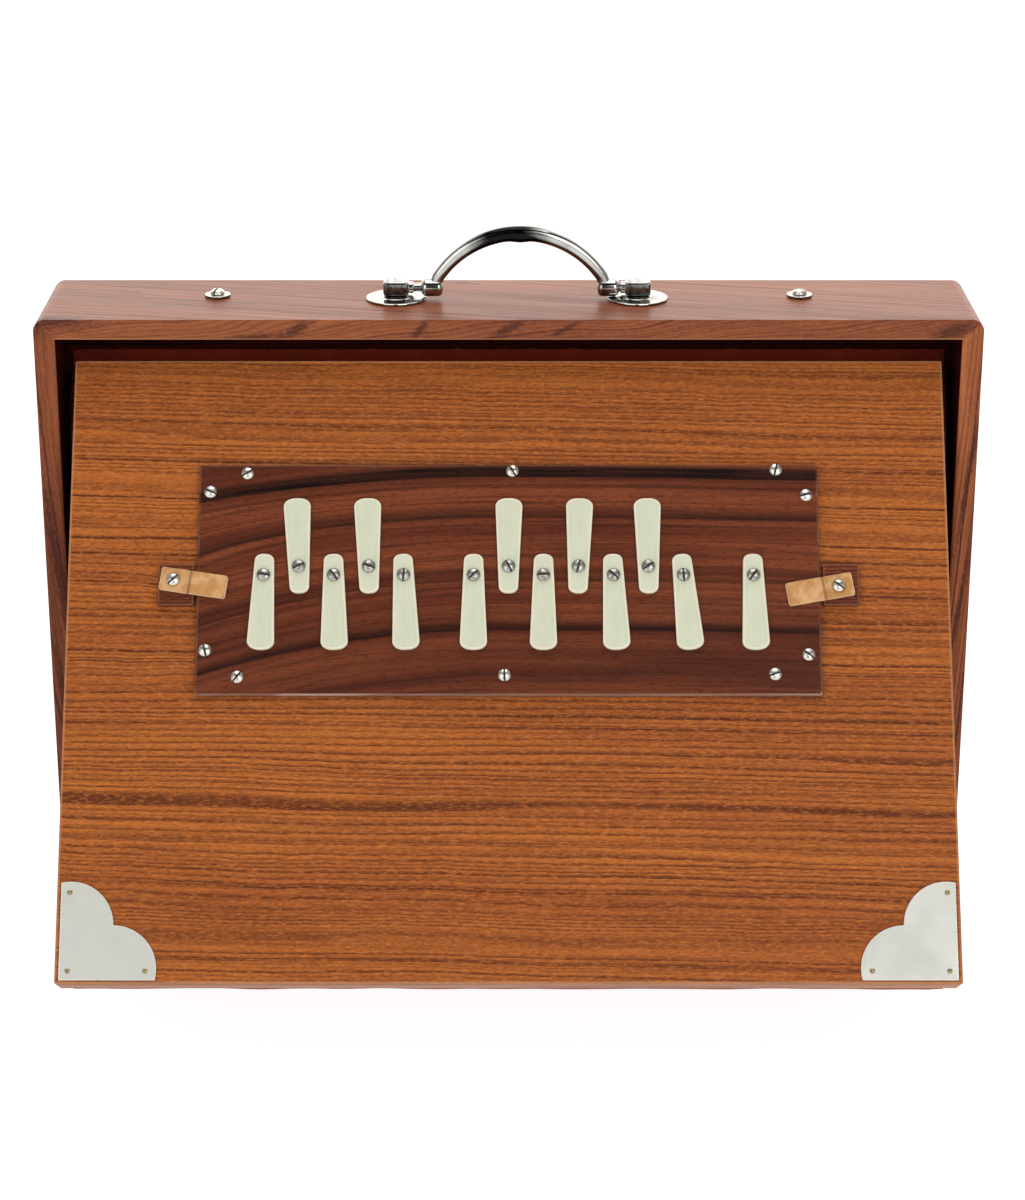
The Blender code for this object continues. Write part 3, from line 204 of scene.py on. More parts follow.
def wood(name, axis, light, deep, streak, heart, rings=115.0, bend=0.012, lean=(0.0, 0.0, 0.0), chest=False,
         roughness=0.42, bold=1.0, fibres=1.0, gloss=0.12, rim=0.65, marks=()):
    """Wood with growth rings about a far heart line, thin dark late wood, slow drifts of colour and short fibres."""
    nodes = Nodes(name, specular_ior_level=gloss)
    place = nodes.place(chest)
    grain = wandering(nodes, place, axis, 0.0022, lean)
    distance = nodes.add("VectorMath", {0: nodes.stretched(grain, along(axis, 0.0, 1.0)), 1: heart},
                         output=1, operation="DISTANCE")
    slow = nodes.maths("SUBTRACT", nodes.noise(grain, along(axis, 2.6, 12.0), 2.0), 0.5)
    count = nodes.maths("MULTIPLY", nodes.maths("ADD", distance, nodes.maths("MULTIPLY", slow, 2 * bend)), rings)
    uneven = nodes.noise(grain, along(axis, 0.7, 60.0), 1.0)
    count = nodes.maths("ADD", count, nodes.maths("MULTIPLY", uneven, 3.0))
    lot = nodes.add("TexWhiteNoise", {"W": nodes.maths("FLOOR", count)}, noise_dimensions="1D")
    drift = nodes.noise(grain, along(axis, 2.5, 34.0), 3.0)
    tone = nodes.maths("ADD", nodes.maths("MULTIPLY", nodes.span(drift, 0.36, 0.64), 0.65),
                       nodes.maths("MULTIPLY", lot, 0.35))
    colour = nodes.mix(tone, light, deep)
    faint = nodes.span(nodes.noise(grain, along(axis, 14.0, 90.0), 2.0), 0.30, 0.55, 0.45, 1.0)
    line = nodes.maths("MULTIPLY", late_wood(nodes, count, 0.58, 57.3, 0.9), faint)
    weak = late_wood(nodes, nodes.maths("MULTIPLY", count, 2.7), 0.20, 11.7, 0.40)
    fine = nodes.noise(grain, along(axis, 11.0, 620.0), 3.0, 0.6)
    colour = nodes.mix(nodes.span(fine, 0.46, 0.62, 0.0, 0.30 * bold), colour, streak)
    colour = nodes.mix(nodes.maths("MULTIPLY", weak, 0.85 * bold), colour, streak)
    colour = nodes.mix(nodes.maths("MINIMUM", nodes.maths("MULTIPLY", line, 1.10 * bold), 1.0), colour, streak)
    glint = nodes.noise(place, along(axis, 330.0, 1300.0), 2.0, 0.6)
    colour = nodes.mix(nodes.span(glint, 0.48, 0.68, 0.0, 0.40 * fibres), colour,
                       tuple(min(0.9, 1.35 * c) for c in light))
    fibre = nodes.noise(place, along(axis, 420.0, 1600.0), 2.5, 0.65)
    colour = nodes.darken(nodes.span(fibre, 0.46, 0.64, 0.0, 0.55 * fibres), colour, (0.45, 0.36, 0.28))
    for centre, reach, slope in marks:
        colour = nodes.mix(mark(nodes, place, axis, centre, reach, slope), colour, streak)
    # Rounded and bevelled edges are mixed towards a pale colour: a painted edge highlight, and on the face board also
    # paler wood sanded through at the edge.
    colour = nodes.mix(nodes.maths("MULTIPLY", nodes.attribute("rim"), rim), colour, (0.52, 0.26, 0.13))
    # Where the attribute is set the wood goes near black: painted shade on the case's inner faces and the face board's
    # sides.
    colour = nodes.mix(nodes.attribute("stained"), colour, (0.028, 0.0026, 0.0018))
    nodes.surface(base_color=colour)
    nodes.surface(roughness=nodes.span(fine, 0.3, 0.8, roughness - 0.05, roughness + 0.10))
    nodes.bump(nodes.maths("SUBTRACT", glint, nodes.maths("ADD", fibre, line)), 0.00005)
    return nodes.material


def rosewood():
    """Dark rosewood whose near-black lines rise from the left and run level to the right."""
    nodes = Nodes("rosewood", coat_weight=0.03, coat_roughness=0.2, roughness=0.36, specular_ior_level=0.12)
    place = wandering(nodes, nodes.place(), "X", 0.0008)
    x, up, depth = (nodes.add("SeparateXYZ", {0: place}, output=i) for i in range(3))
    down = nodes.maths("SUBTRACT", PLATE_HEIGHT / 2, up)
    steep = nodes.span(down, 0.015, 0.055, 0.0112, 0.0200)
    left = nodes.maths("MAXIMUM", nodes.maths("DIVIDE", nodes.maths("SUBTRACT", -0.003, x), 0.127), 0.0)
    right = nodes.maths("MAXIMUM", nodes.maths("DIVIDE", nodes.maths("ADD", x, 0.003), 0.133), 0.0)
    rise = nodes.maths("MULTIPLY", nodes.maths("POWER", left, 2.0), steep)
    dip = nodes.maths("MULTIPLY", nodes.maths("POWER", right, 2.0), 0.0018)
    level = nodes.maths("SUBTRACT", nodes.maths("SUBTRACT", down, rise), dip)
    share = nodes.maths("DIVIDE", nodes.maths("ADD", level, 0.010), 0.120)
    figure = nodes.ramp(share, [
        (0.060, 0.10), (0.080, 0.20), (0.093, 0.94), (0.126, 1.0), (0.132, 0.22), (0.152, 0.08), (0.162, 0.66),
        (0.166, 0.06), (0.225, 0.04), (0.258, 0.60), (0.274, 0.86), (0.280, 0.10), (0.296, 0.08), (0.303, 0.58),
        (0.308, 0.05), (0.440, 0.05), (0.474, 0.50), (0.482, 0.16), (0.500, 0.70), (0.506, 0.08), (0.528, 0.42),
        (0.534, 0.06), (0.600, 0.12), (0.616, 0.52), (0.622, 0.12), (0.650, 0.50), (0.674, 0.95), (0.682, 0.16),
        (0.760, 0.30), (0.850, 0.38), (0.900, 0.20)])
    soft = nodes.noise(nodes.add("CombineXYZ", {0: x, 1: depth, 2: level}), (3.0, 120.0, 120.0), 2.0)
    fine = nodes.noise(nodes.add("CombineXYZ", {0: x, 1: depth, 2: level}), (16.0, 560.0, 560.0), 3.0)
    colour = nodes.mix(nodes.span(soft, 0.35, 0.65), (0.215, 0.055, 0.021), (0.118, 0.026, 0.011))
    colour = nodes.mix(nodes.span(fine, 0.46, 0.68, 0.0, 0.50), colour, (0.045, 0.010, 0.006))
    veins = late_wood(nodes, nodes.maths("MULTIPLY", level, 300.0), 0.55, 7.9, 1.4)
    figure = nodes.maths("MAXIMUM", figure, nodes.maths("MULTIPLY", veins, 0.55))
    broken = nodes.maths("MULTIPLY", figure, nodes.span(fine, 0.25, 0.60, 1.10, 0.85))
    colour = nodes.mix(broken, colour, (0.006, 0.002, 0.002))
    pores = nodes.noise(nodes.place(), (260.0, 1400.0, 1400.0), 2.0)
    colour = nodes.darken(nodes.span(pores, 0.50, 0.66, 0.0, 0.40), colour, (0.25, 0.15, 0.12))
    # A broken pale line along the plate's bottom edge: a painted edge highlight.
    foot = nodes.span(up, 0.0012 - PLATE_HEIGHT / 2, 0.0020 - PLATE_HEIGHT / 2, 0.75, 0.15)
    worn = nodes.maths("MULTIPLY", foot, nodes.span(soft, 0.40, 0.56, 0.3, 1.0))
    colour = nodes.mix(nodes.maths("MULTIPLY", nodes.attribute("rim"), worn), colour, (0.50, 0.34, 0.27))
    nodes.surface(base_color=colour)
    nodes.bump(pores, 0.00004)
    return nodes.material


def ivory():
    """Pale ivory plastic with faint lengthwise figure and a painted highlight, lighter and warmer, on its rounded
    edge.
    """
    nodes = Nodes("ivory", coat_weight=0.1, coat_roughness=0.25, specular_ior_level=0.4)
    place = nodes.place()
    figure = nodes.noise(place, (420.0, 40.0, 400.0), 3.0)
    cloud = nodes.noise(place, (90.0, 60.0, 90.0), 2.0)
    colour = nodes.mix(nodes.span(figure, 0.35, 0.68), (0.62, 0.64, 0.47), (0.56, 0.595, 0.445))
    colour = nodes.mix(nodes.span(cloud, 0.40, 0.66, 0.0, 0.5), colour, (0.65, 0.65, 0.505))
    # Painted highlight: the rounded edge is lighter and warmer.
    colour = nodes.mix(nodes.maths("MULTIPLY", nodes.attribute("rim"), 0.75), colour, (0.82, 0.73, 0.58))
    nodes.surface(base_color=colour)
    nodes.surface(roughness=nodes.span(figure, 0.3, 0.7, 0.30, 0.42))
    nodes.bump(figure, 0.00003)
    return nodes.material


def metal(name, colour, roughness, tarnish, brushed=None, mottle=300.0, depth=0.00003, share=0.5, metallic=1.0):
    """Metal with a clouded tarnish and fine scratches."""
    nodes = Nodes(name, metallic=metallic)
    place = nodes.place()
    cloud = nodes.noise(place, (mottle,) * 3, 4.0, 0.6)
    scratch = nodes.noise(place, brushed or (2500.0, 2500.0, 2500.0), 2.0)
    dulled = nodes.mix(nodes.span(cloud, 0.42, 0.70, 0.0, share), colour, tarnish)
    # Near black where the attribute is set: a painted dark reflection on the handle's bow and post fronts.
    dulled = nodes.mix(nodes.attribute("worn"), dulled, (0.010, 0.010, 0.010))
    nodes.surface(base_color=nodes.mix(nodes.maths("MULTIPLY", nodes.attribute("rim"), 0.8), dulled, tuple(
        min(0.92, 1.3 * c) for c in colour)))
    rough = nodes.maths("ADD", nodes.span(cloud, 0.3, 0.7, roughness * 0.8, roughness * 1.25),
                        nodes.span(scratch, 0.3, 0.7, 0.0, 0.06))
    nodes.surface(roughness=rough)
    nodes.bump(scratch if brushed else cloud, depth)
    return nodes.material


def leather(name, grain_side, flesh, edge):
    """Vegetable-tanned leather with fine creases, pale cut edges, a darker end rubbed by handling and painted shade
    along its fold.
    """
    nodes = Nodes(name, specular_ior_level=0.35)
    place = nodes.attribute("flat", output=1)
    cloud = nodes.noise(place, (160.0, 160.0, 160.0), 4.0, 0.6)
    pores = nodes.add("TexVoronoi", {"Vector": nodes.stretched(place, (1700.0,) * 3), "Scale": 1.0})
    colour = nodes.mix(nodes.span(cloud, 0.38, 0.62), grain_side, flesh)
    colour = nodes.mix(nodes.maths("MULTIPLY", nodes.attribute("worn"), 0.8), colour, (0.40, 0.17, 0.055))
    colour = nodes.mix(nodes.attribute("edge"), colour, edge)
    # Painted shade along the strap's fold.
    colour = nodes.mix(nodes.attribute("crease"), colour, (0.16, 0.06, 0.02))
    colour = nodes.darken(nodes.span(pores, 0.15, 0.55, 0.22, 0.0), colour, (0.45, 0.28, 0.18))
    nodes.surface(base_color=colour)
    nodes.surface(roughness=nodes.span(cloud, 0.3, 0.7, 0.52, 0.70))
    nodes.bump(nodes.maths("ADD", pores, cloud), 0.00010)
    return nodes.material


def cloth(name, thread, gap, by_attribute):
    """Plain-woven cotton, dark maroon, with a little dust and sheen."""
    nodes = Nodes(name, sheen_weight=0.08, sheen_roughness=0.5, specular_ior_level=0.1)
    place = nodes.attribute("flat", output=1) if by_attribute else nodes.place()
    x, y = (nodes.add("SeparateXYZ", {0: place}, output=i) for i in (0, 1))
    over = nodes.maths("SINE", nodes.maths("MULTIPLY", x, 5200.0))
    under = nodes.maths("SINE", nodes.maths("MULTIPLY", y, 5200.0))
    weave = nodes.maths("MULTIPLY", over, under)
    dust = nodes.noise(place, (60.0, 60.0, 60.0), 4.0, 0.6)
    colour = nodes.mix(nodes.span(weave, -0.9, 0.9), gap, thread)
    colour = nodes.mix(nodes.span(dust, 0.45, 0.8, 0.0, 0.35), colour, tuple(1.5 * c for c in thread))
    nodes.surface(base_color=colour)
    nodes.surface(roughness=nodes.span(dust, 0.3, 0.7, 0.75, 0.92))
    nodes.bump(weave, 0.00012)
    return nodes.material


CASE_LIGHT, CASE_DEEP, CASE_STREAK = (0.330, 0.098, 0.033), (0.205, 0.054, 0.021), (0.060, 0.013, 0.007)
FACE_LIGHT, FACE_DEEP, FACE_STREAK = (0.470, 0.142, 0.028), (0.340, 0.092, 0.021), (0.100, 0.022, 0.007)
PALE_LIGHT, PALE_DEEP = (0.46, 0.22, 0.12), (0.34, 0.15, 0.08)
INNER_LIGHT, INNER_DEEP = (0.38, 0.20, 0.09), (0.28, 0.13, 0.06)

case_x = wood("case_teak_long", "X", CASE_LIGHT, CASE_DEEP, CASE_STREAK, (0, 0.38, -0.51), rings=290.0, bend=0.006,
              lean=(0.0, 0.22, 0.0), roughness=0.34, gloss=0.15, bold=0.62, fibres=0.45, marks=(
                  ((-0.1970, -0.0335, 0.3095), (0.030, 0.008, 0.0065), (0, 0, 0)),
                  ((-0.0890, -0.0335, 0.3050), (0.0120, 0.008, 0.0030), (0, 0, -0.5)),
                  ((-0.1080, -0.0335, 0.3012), (0.0200, 0.008, 0.0022), (0, 0, -0.1)),
                  ((-0.0372, -0.0335, 0.3048), (0.0045, 0.008, 0.0032), (0, 0, -1.0)),
                  ((-0.0006, -0.0335, 0.3048), (0.0105, 0.008, 0.0026), (0, 0, -0.5)),
                  ((0.0239, -0.0335, 0.3050), (0.0080, 0.008, 0.0016), (0, 0, -0.5)),
                  ((0.1870, -0.0335, 0.3040), (0.0140, 0.008, 0.0040), (0, 0, -0.3))))
case_left = wood("case_teak_left", "Z", CASE_LIGHT, CASE_DEEP, CASE_STREAK, (0.7, 0.5, 0), rings=190.0,
                 bend=0.008, lean=(0.045, 0.03, 0.0), roughness=0.36, gloss=0.12, bold=0.75, fibres=0.45, marks=(
                     ((-0.1990, -0.0335, 0.3090), (0.006, 0.008, 0.008), (0, 0, 0)),
                     ((-0.1950, -0.0335, 0.2000), (0.0034, 0.02, 0.065), (0.11, 0, 0)),
                     ((-0.1945, -0.0335, 0.1300), (0.0022, 0.02, 0.045), (0.11, 0, 0))))
# The right board's colours are lighter than the left board's: painted light, the right side drawn as more brightly
# lit.
case_right = wood("case_teak_right", "Z", (0.430, 0.135, 0.045), (0.275, 0.080, 0.030), CASE_STREAK,
                  (-0.7, 0.5, 0), rings=190.0, bend=0.008, lean=(-0.045, 0.03, 0.0), roughness=0.36, gloss=0.12,
                  bold=0.88, fibres=0.45, marks=(
                      ((0.1975, -0.0335, 0.2450), (0.0016, 0.02, 0.050), (-0.12, 0, 0)),
                      ((0.1945, -0.0335, 0.1700), (0.0016, 0.02, 0.060), (-0.12, 0, 0))))
face_wood = wood("face_teak", "X", FACE_LIGHT, FACE_DEEP, FACE_STREAK, (0, 0.9, 0.05), rings=150.0, bend=0.004,
                 lean=(0.0, 0.020, 0.0), roughness=0.46, rim=0.5)
pale_x = wood("pale_teak_long", "X", PALE_LIGHT, PALE_DEEP, CASE_DEEP, (0, 0.3, 0.1), roughness=0.55)
pale_z = wood("pale_teak_upright", "Z", PALE_LIGHT, PALE_DEEP, CASE_DEEP, (0.05, 0.3, 0), roughness=0.55)
inner_x = wood("inner_ply", "X", INNER_LIGHT, INNER_DEEP, CASE_DEEP, (0, 0.4, 0.5), roughness=0.6)
# Near-black ply for the centre board: painted shade inside the case above the hinge cloth.
stained = wood("stained_ply", "X", (0.052, 0.0055, 0.0040), (0.032, 0.0036, 0.0028), (0.012, 0.002, 0.002),
               (0, 0.4, 0.5), roughness=0.6, gloss=0.03)
inner_chest = wood("inner_ply_chest", "X", INNER_LIGHT, INNER_DEEP, CASE_DEEP, (0, 0.4, 0.5), chest=True,
                   roughness=0.6)
rosewood_material = rosewood()
block_wood = wood("rosewood_block", "X", (0.21, 0.052, 0.019), (0.14, 0.032, 0.012), (0.03, 0.008, 0.006),
                  (0, 0.2, 0.05), rings=260.0, rim=0.18)
ivory_material = ivory()
nickel = metal("nickel", (0.68, 0.65, 0.58), 0.26, (0.42, 0.38, 0.30), mottle=500.0, depth=0.00001, share=0.3)
dull_nickel = metal("dull_nickel", (0.44, 0.43, 0.39), 0.30, (0.16, 0.14, 0.11), mottle=900.0, share=0.8)
# Near-black metal put in screw slots and on washer rims: painted shade.
painted_shade_metal = metal("slot_grime", (0.060, 0.052, 0.045), 0.55, (0.025, 0.020, 0.016), mottle=900.0, metallic=0.3)
chrome = metal("chrome", (0.50, 0.50, 0.47), 0.09, (0.13, 0.12, 0.10), mottle=95.0, depth=0.00003, share=0.40)
pitted_chrome = metal("pitted_chrome", (0.50, 0.50, 0.47), 0.12, (0.07, 0.07, 0.06), mottle=420.0, depth=0.00005,
                      share=0.9)
aluminium = metal("aluminium", (0.60, 0.60, 0.545), 0.42, (0.53, 0.55, 0.50), brushed=(60.0, 3500.0, 3500.0),
                  mottle=45.0, metallic=0.45)
brass = metal("brass", (0.38, 0.29, 0.13), 0.34, (0.12, 0.10, 0.05), mottle=900.0, share=0.9)
spring_steel = metal("spring_steel", (0.34, 0.34, 0.35), 0.32, (0.14, 0.10, 0.07), mottle=400.0)
strap_leather = leather("leather", (0.64, 0.37, 0.165), (0.51, 0.245, 0.078), (0.78, 0.50, 0.33))
valve_leather = leather("valve_leather", (0.52, 0.38, 0.24), (0.44, 0.30, 0.18), (0.60, 0.46, 0.32))
bellows_cloth = cloth("maroon_cloth", (0.300, 0.032, 0.012), (0.110, 0.010, 0.004), True)


# Shapes

def mesh_object(name, mesh, materials, matrix=None, smooth=math.radians(35)):
    """Link a mesh as an object, smooth but for its sharp edges."""
    for material in materials if isinstance(materials, (list, tuple)) else [materials]:
        mesh.materials.append(material)
    mesh.shade_smooth()
    mesh.set_sharp_from_angle(angle=smooth)
    obj = bpy.data.objects.new(name, mesh)
    bpy.context.scene.collection.objects.link(obj)
    obj.matrix_world = matrix or Matrix.Identity(4)
    return obj


def mesh_of(shape, name):
    """A bmesh made into a mesh with its faces outward."""
    bmesh.ops.recalc_face_normals(shape, faces=shape.faces)
    mesh = bpy.data.meshes.new(name)
    shape.to_mesh(mesh)
    shape.free()
    return mesh


def finish_piece(obj, body, slot, *nodes, weighted=True):
    """Let a piece ride on its body and stand for its CAD nodes."""
    if weighted:
        obj.modifiers.new("normals", "WEIGHTED_NORMAL").keep_sharp = True
    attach(obj, body)
    if nodes:
        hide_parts(*nodes)
    return obj


def loft(name, rows, closed=True, caps=True):
    """A mesh through rows of points, each row a ring or an open line."""
    shape = bmesh.new()
    made = [[shape.verts.new(point) for point in row] for row in rows]
    count = len(made[0])
    for row, following in zip(made, made[1:]):
        for i in range(count if closed else count - 1):
            j = (i + 1) % count
            shape.faces.new((row[i], row[j], following[j], following[i]))
    if caps:
        shape.faces.new(made[0])
        shape.faces.new(made[-1])
    return mesh_of(shape, name)


def inset(outline, distance):
    """An anticlockwise outline moved inwards."""
    points = [Vector(p) for p in outline]
    moved = []
    for i, here in enumerate(points):
        before = (here - points[i - 1]).normalized()
        after = (points[(i + 1) % len(points)] - here).normalized()
        left_before, left_after = Vector((-before.y, before.x)), Vector((-after.y, after.x))
        middle = (left_before + left_after).normalized()
        moved.append(here + middle * distance / max(0.35, middle.dot(left_after)))
    return moved


def slab(name, outline, thickness, rim, materials, matrix, steps=4, both=False, inner=0.0):
    """A flat piece about z = 0 whose edge is rounded towards +z, or both ways."""
    half = thickness / 2
    profile = [(rim * (1 - math.cos(a)), half - rim + rim * math.sin(a), 1.0)
               for a in (math.pi / 2 * i / steps for i in range(steps + 1))]
    profile = profile[:1] + profile[1:]
    if inner:
        profile.append((rim + inner, half, 0.0))
    below = [(d, -h, r) for d, h, r in reversed(profile)] if both else [(0.0, -half, 0.0)]
    rings = below + profile
    shrunk = outline if callable(outline) else (lambda distance: inset(outline, distance))
    mesh = loft(name, [[(x, y, h) for x, y in shrunk(d)] for d, h, r in rings])
    rim_values = [r for d, h, r in rings for point in shrunk(0.0)]
    mesh.attributes.new("rim", "FLOAT", "POINT").data.foreach_set("value", rim_values)
    return mesh_object(name, mesh, materials, matrix)


def arc(centre, radius, start, end, steps):
    """Points on an arc, both ends included."""
    angles = [start + (end - start) * i / steps for i in range(steps + 1)]
    return [(centre[0] + radius * math.cos(a), centre[1] + radius * math.sin(a)) for a in angles]


def rounded_rectangle(width, height, radius, steps=5):
    """A rectangle with round corners about the origin, as a function of how far it is moved inwards."""
    def outline(distance):
        turn = max(radius - distance, 0.0002)
        x, y = width / 2 - distance - turn, height / 2 - distance - turn
        points = []
        for cx, cy, quarter in ((x, y, 0), (-x, y, 1), (-x, -y, 2), (x, -y, 3)):
            points += arc((cx, cy), turn, quarter * math.pi / 2, (quarter + 1) * math.pi / 2, steps)
        return points
    return outline


def block(name, size, centre, rounding, materials, matrix, segments=3):
    """A cuboid with rounded edges."""
    shape = bmesh.new()
    bmesh.ops.create_cube(shape, size=1.0, matrix=Matrix.Translation(centre) @ Matrix.Diagonal((*size, 1)))
    bmesh.ops.bevel(shape, geom=shape.edges[:], offset=rounding, segments=segments, profile=0.5, affect="EDGES")
    return mesh_object(name, mesh_of(shape, name), materials, matrix)


def turned(profile, steps=48):
    """A bmesh of a profile of radius and height turned about z."""
    shape = bmesh.new()
    rings = []
    for radius, height in profile:
        if radius == 0:
            rings.append([shape.verts.new((0, 0, height))])
            continue
        rings.append([shape.verts.new((radius * math.cos(a), radius * math.sin(a), height))
                      for a in (2 * math.pi * i / steps for i in range(steps))])
    for ring, following in zip(rings, rings[1:]):
        for i in range(steps):
            j = (i + 1) % steps
            if len(ring) == 1:
                shape.faces.new((ring[0], following[i], following[j]))
            elif len(following) == 1:
                shape.faces.new((ring[i], following[0], ring[j]))
            else:
                shape.faces.new((ring[i], following[i], following[j], ring[j]))
    return shape


def cut(obj, cutter_mesh):
    combine(obj, cutter_mesh, "DIFFERENCE")


def combine(obj, other, operation):
    """Cut a solid out of a piece, or join it on; it is given in the piece's own frame."""
    cutter = bpy.data.objects.new("cutter", other)
    bpy.context.scene.collection.objects.link(cutter)
    cutter.matrix_world = obj.matrix_world
    boolean = obj.modifiers.new("cut", "BOOLEAN")
    boolean.object = cutter
    boolean.operation = operation
    bpy.context.view_layer.update()
    graph = bpy.context.evaluated_depsgraph_get()
    obj.data = bpy.data.meshes.new_from_object(obj.evaluated_get(graph), depsgraph=graph)
    obj.modifiers.clear()
    bpy.data.objects.remove(cutter)
    obj.data.set_sharp_from_angle(angle=math.radians(35))


def rods(places, radius, length, turn=Matrix.Identity(4), steps=40):
    """Round rods in one mesh, to cut holes with."""
    shape = bmesh.new()
    for centre in places:
        bmesh.ops.create_cone(shape, cap_ends=True, segments=steps, radius1=radius, radius2=radius, depth=length,
                              matrix=Matrix.Translation(centre) @ turn)
    return mesh_of(shape, "rods")


def screw_head(radius, height, shank, depth):
    """A slotted round head about z with a short shank."""
    dome = [(0.0, height)]
    dome += [(radius * math.sin(a), height * (0.12 + 0.88 * math.cos(a))) for a in (0.2, 0.4, 0.6, 0.8, 1.0, 1.2, 1.4)]
    dome += [(radius, 0.0), (radius - 0.0002, -0.00008), (shank, -0.00008), (shank, -depth), (0.0, -depth)]
    obj = mesh_object("head", mesh_of(turned(dome, 40), "head"), [])
    slot_width = 0.00085
    slot_shape = bmesh.new()
    bmesh.ops.create_cube(slot_shape, size=1.0, matrix=Matrix.Translation((0, 0, height)) @ Matrix.Diagonal(
        (2.4 * radius, slot_width, 0.0017, 1)))
    cut(obj, mesh_of(slot_shape, "slot"))
    mesh = obj.data
    bpy.data.objects.remove(obj)
    # Faces inside the slot take the second material: painted shade in the slot.
    for face in mesh.polygons:
        if face.center.z > 0 and abs(face.center.y) < 0.51 * slot_width:
            face.material_index = 1
    return mesh


def copies(name, source, matrices, materials, matrix):
    """Copies of a mesh joined into one piece."""
    shape = bmesh.new()
    for place in matrices:
        copy = source.copy()
        copy.transform(place)
        shape.from_mesh(copy)
        bpy.data.meshes.remove(copy)
    return mesh_object(name, mesh_of(shape, name), materials, matrix)


def facing_at(x, y, z, spin=0.0):
    """A place on the chest for a mesh whose z axis becomes the outward direction."""
    return Matrix.Translation((x, y, z)) @ FACING @ Matrix.Rotation(spin, 4, "Z")


def set_values(mesh, name, values, kind="FLOAT"):
    """Store one value, or one vector, for each point."""
    field = "value" if kind == "FLOAT" else "vector"
    mesh.attributes.new(name, kind, "POINT").data.foreach_set(field, np.array(values, np.float32).ravel())


# Case

def mitred_board(name, length, middle, turn, material, painted_highlight, node):
    """A case board with mitred ends, a round outer corner at each, and softened long edges."""
    slack = 0.00004
    half = length / 2 - slack
    corner = (half - CORNER_RADIUS, CASE_WALL / 2 - CORNER_RADIUS)
    right = arc(corner, CORNER_RADIUS, math.pi / 4, math.pi / 2, 10)
    left = [(-x, y) for x, y in reversed(right)]
    inner = (half - CASE_WALL, -CASE_WALL / 2)
    outline = [(-inner[0], inner[1]), inner, *right, *left]
    shape = bmesh.new()
    depths = (-CASE_DEPTH / 2, CASE_DEPTH / 2)
    front, back = ([shape.verts.new((along_it, y, outward)) for along_it, outward in outline] for y in depths)
    count = len(outline)
    for i in range(count):
        j = (i + 1) % count
        shape.faces.new((front[i], front[j], back[j], back[i]))
    shape.faces.new(front)
    shape.faces.new(back)
    cut_ends = {1, count - 1}
    shape.edges.ensure_lookup_table()
    rims = []
    for ring in (front, back):
        for i in range(count):
            if i not in cut_ends:
                rims.append(shape.edges.get((ring[i], ring[(i + 1) % count])))
    bmesh.ops.bevel(shape, geom=rims, offset=0.0015, segments=5, profile=0.5, affect="EDGES")
    above = [v.co.z + CASE_WALL / 2 for v in shape.verts]
    bmesh.ops.transform(shape, verts=shape.verts, matrix=Matrix.Translation(middle) @ turn)
    mesh = mesh_of(shape, name)
    # The board's inner face is marked near black: painted shade inside the case.
    set_values(mesh, "stained", [1.0 if height < 0.00015 else 0.0 for height in above])
    # A thin band on the lower inner edge is marked pale: a painted edge highlight, strongest on the top board.
    set_values(mesh, "rim", [painted_highlight if 0.00015 < height < 0.0008 else 0.0 for height in above])
    return finish_piece(mesh_object(name, mesh, material), "case", "case_teak", node)


def make_case():
    wall = CASE_WALL / 2
    for name, length, middle, angle, material, painted_highlight in (
            ("top", CASE_WIDTH, (0, 0, CASE_HEIGHT - wall), 0, case_x, 0.9),
            ("bottom", CASE_WIDTH, (0, 0, wall), math.pi, case_x, 0.5),
            ("left", CASE_HEIGHT, (wall - CASE_WIDTH / 2, 0, CASE_HEIGHT / 2), -math.pi / 2, case_left, 0.2),
            ("right", CASE_HEIGHT, (CASE_WIDTH / 2 - wall, 0, CASE_HEIGHT / 2), math.pi / 2, case_right, 0.2)):
        turn = Matrix.Rotation(angle, 4, "Y")
        mitred_board("teak_%s_board" % name, length, middle, turn, material, painted_highlight, "case_%s_board" % name)


def make_centre_board():
    low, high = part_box("centre_board")
    size = (2 * (CASE_WIDTH / 2 - CASE_WALL) - 0.0001, high[1] - low[1], CASE_HEIGHT - 2 * CASE_WALL - 0.0001)
    board = block("stained_centre_board", size, (0, (low[1] + high[1]) / 2, CASE_HEIGHT / 2), 0.0004, stained,
                  Matrix.Identity(4))
    turn = Matrix.Rotation(math.pi / 2, 4, "X")
    places = [(x + step * 0.017, 0.005, FRONT_HINGE.z - 0.162) for x in (-0.070, 0.070) for step in (-1, 0, 1)]
    cut(board, rods(places, 0.0055, 0.03, turn))
    finish_piece(board, "case", "inner_ply", "centre_board")


def make_case_screws():
    head = screw_head(0.00315, 0.0021, 0.0018, 0.010)
    rim = [(0.0053, 0.00002), (0.00545, 0.00004), (0.0055, 0.00012), (0.0055, 0.00075), (0.00545, 0.00086)]
    ring = [(0.0021, 0.00002), *rim, (0.0053, 0.00090), (0.0032, 0.00096), (0.0021, 0.00080), (0.0021, 0.00002)]
    for word, x, spin in (("left", -0.1255, 1.15), ("right", 0.1255, -0.35)):
        place = Matrix.Translation((x, 0.005, 0.3093))
        washer = mesh_object("top_washer_" + word, mesh_of(turned(ring, 64), "washer"), [nickel, painted_shade_metal], place)
        # The washer's outer edge takes the second material: painted shade and dark reflection along its rim.
        for face in washer.data.polygons:
            if math.hypot(*face.center[:2]) > 0.00542 and face.center.z < 0.00075:
                face.material_index = 1
        finish_piece(washer, "case", "nickel", "case_washer_" + word)
        seat = Matrix.Translation((x, 0.005, 0.3105)) @ Matrix.Rotation(spin, 4, "Z")
        screw = copies("top_screw_" + word, head, [Matrix.Identity(4)], [nickel, painted_shade_metal], seat)
        finish_piece(screw, "case", "nickel", "case_screw_" + word)


# Handle

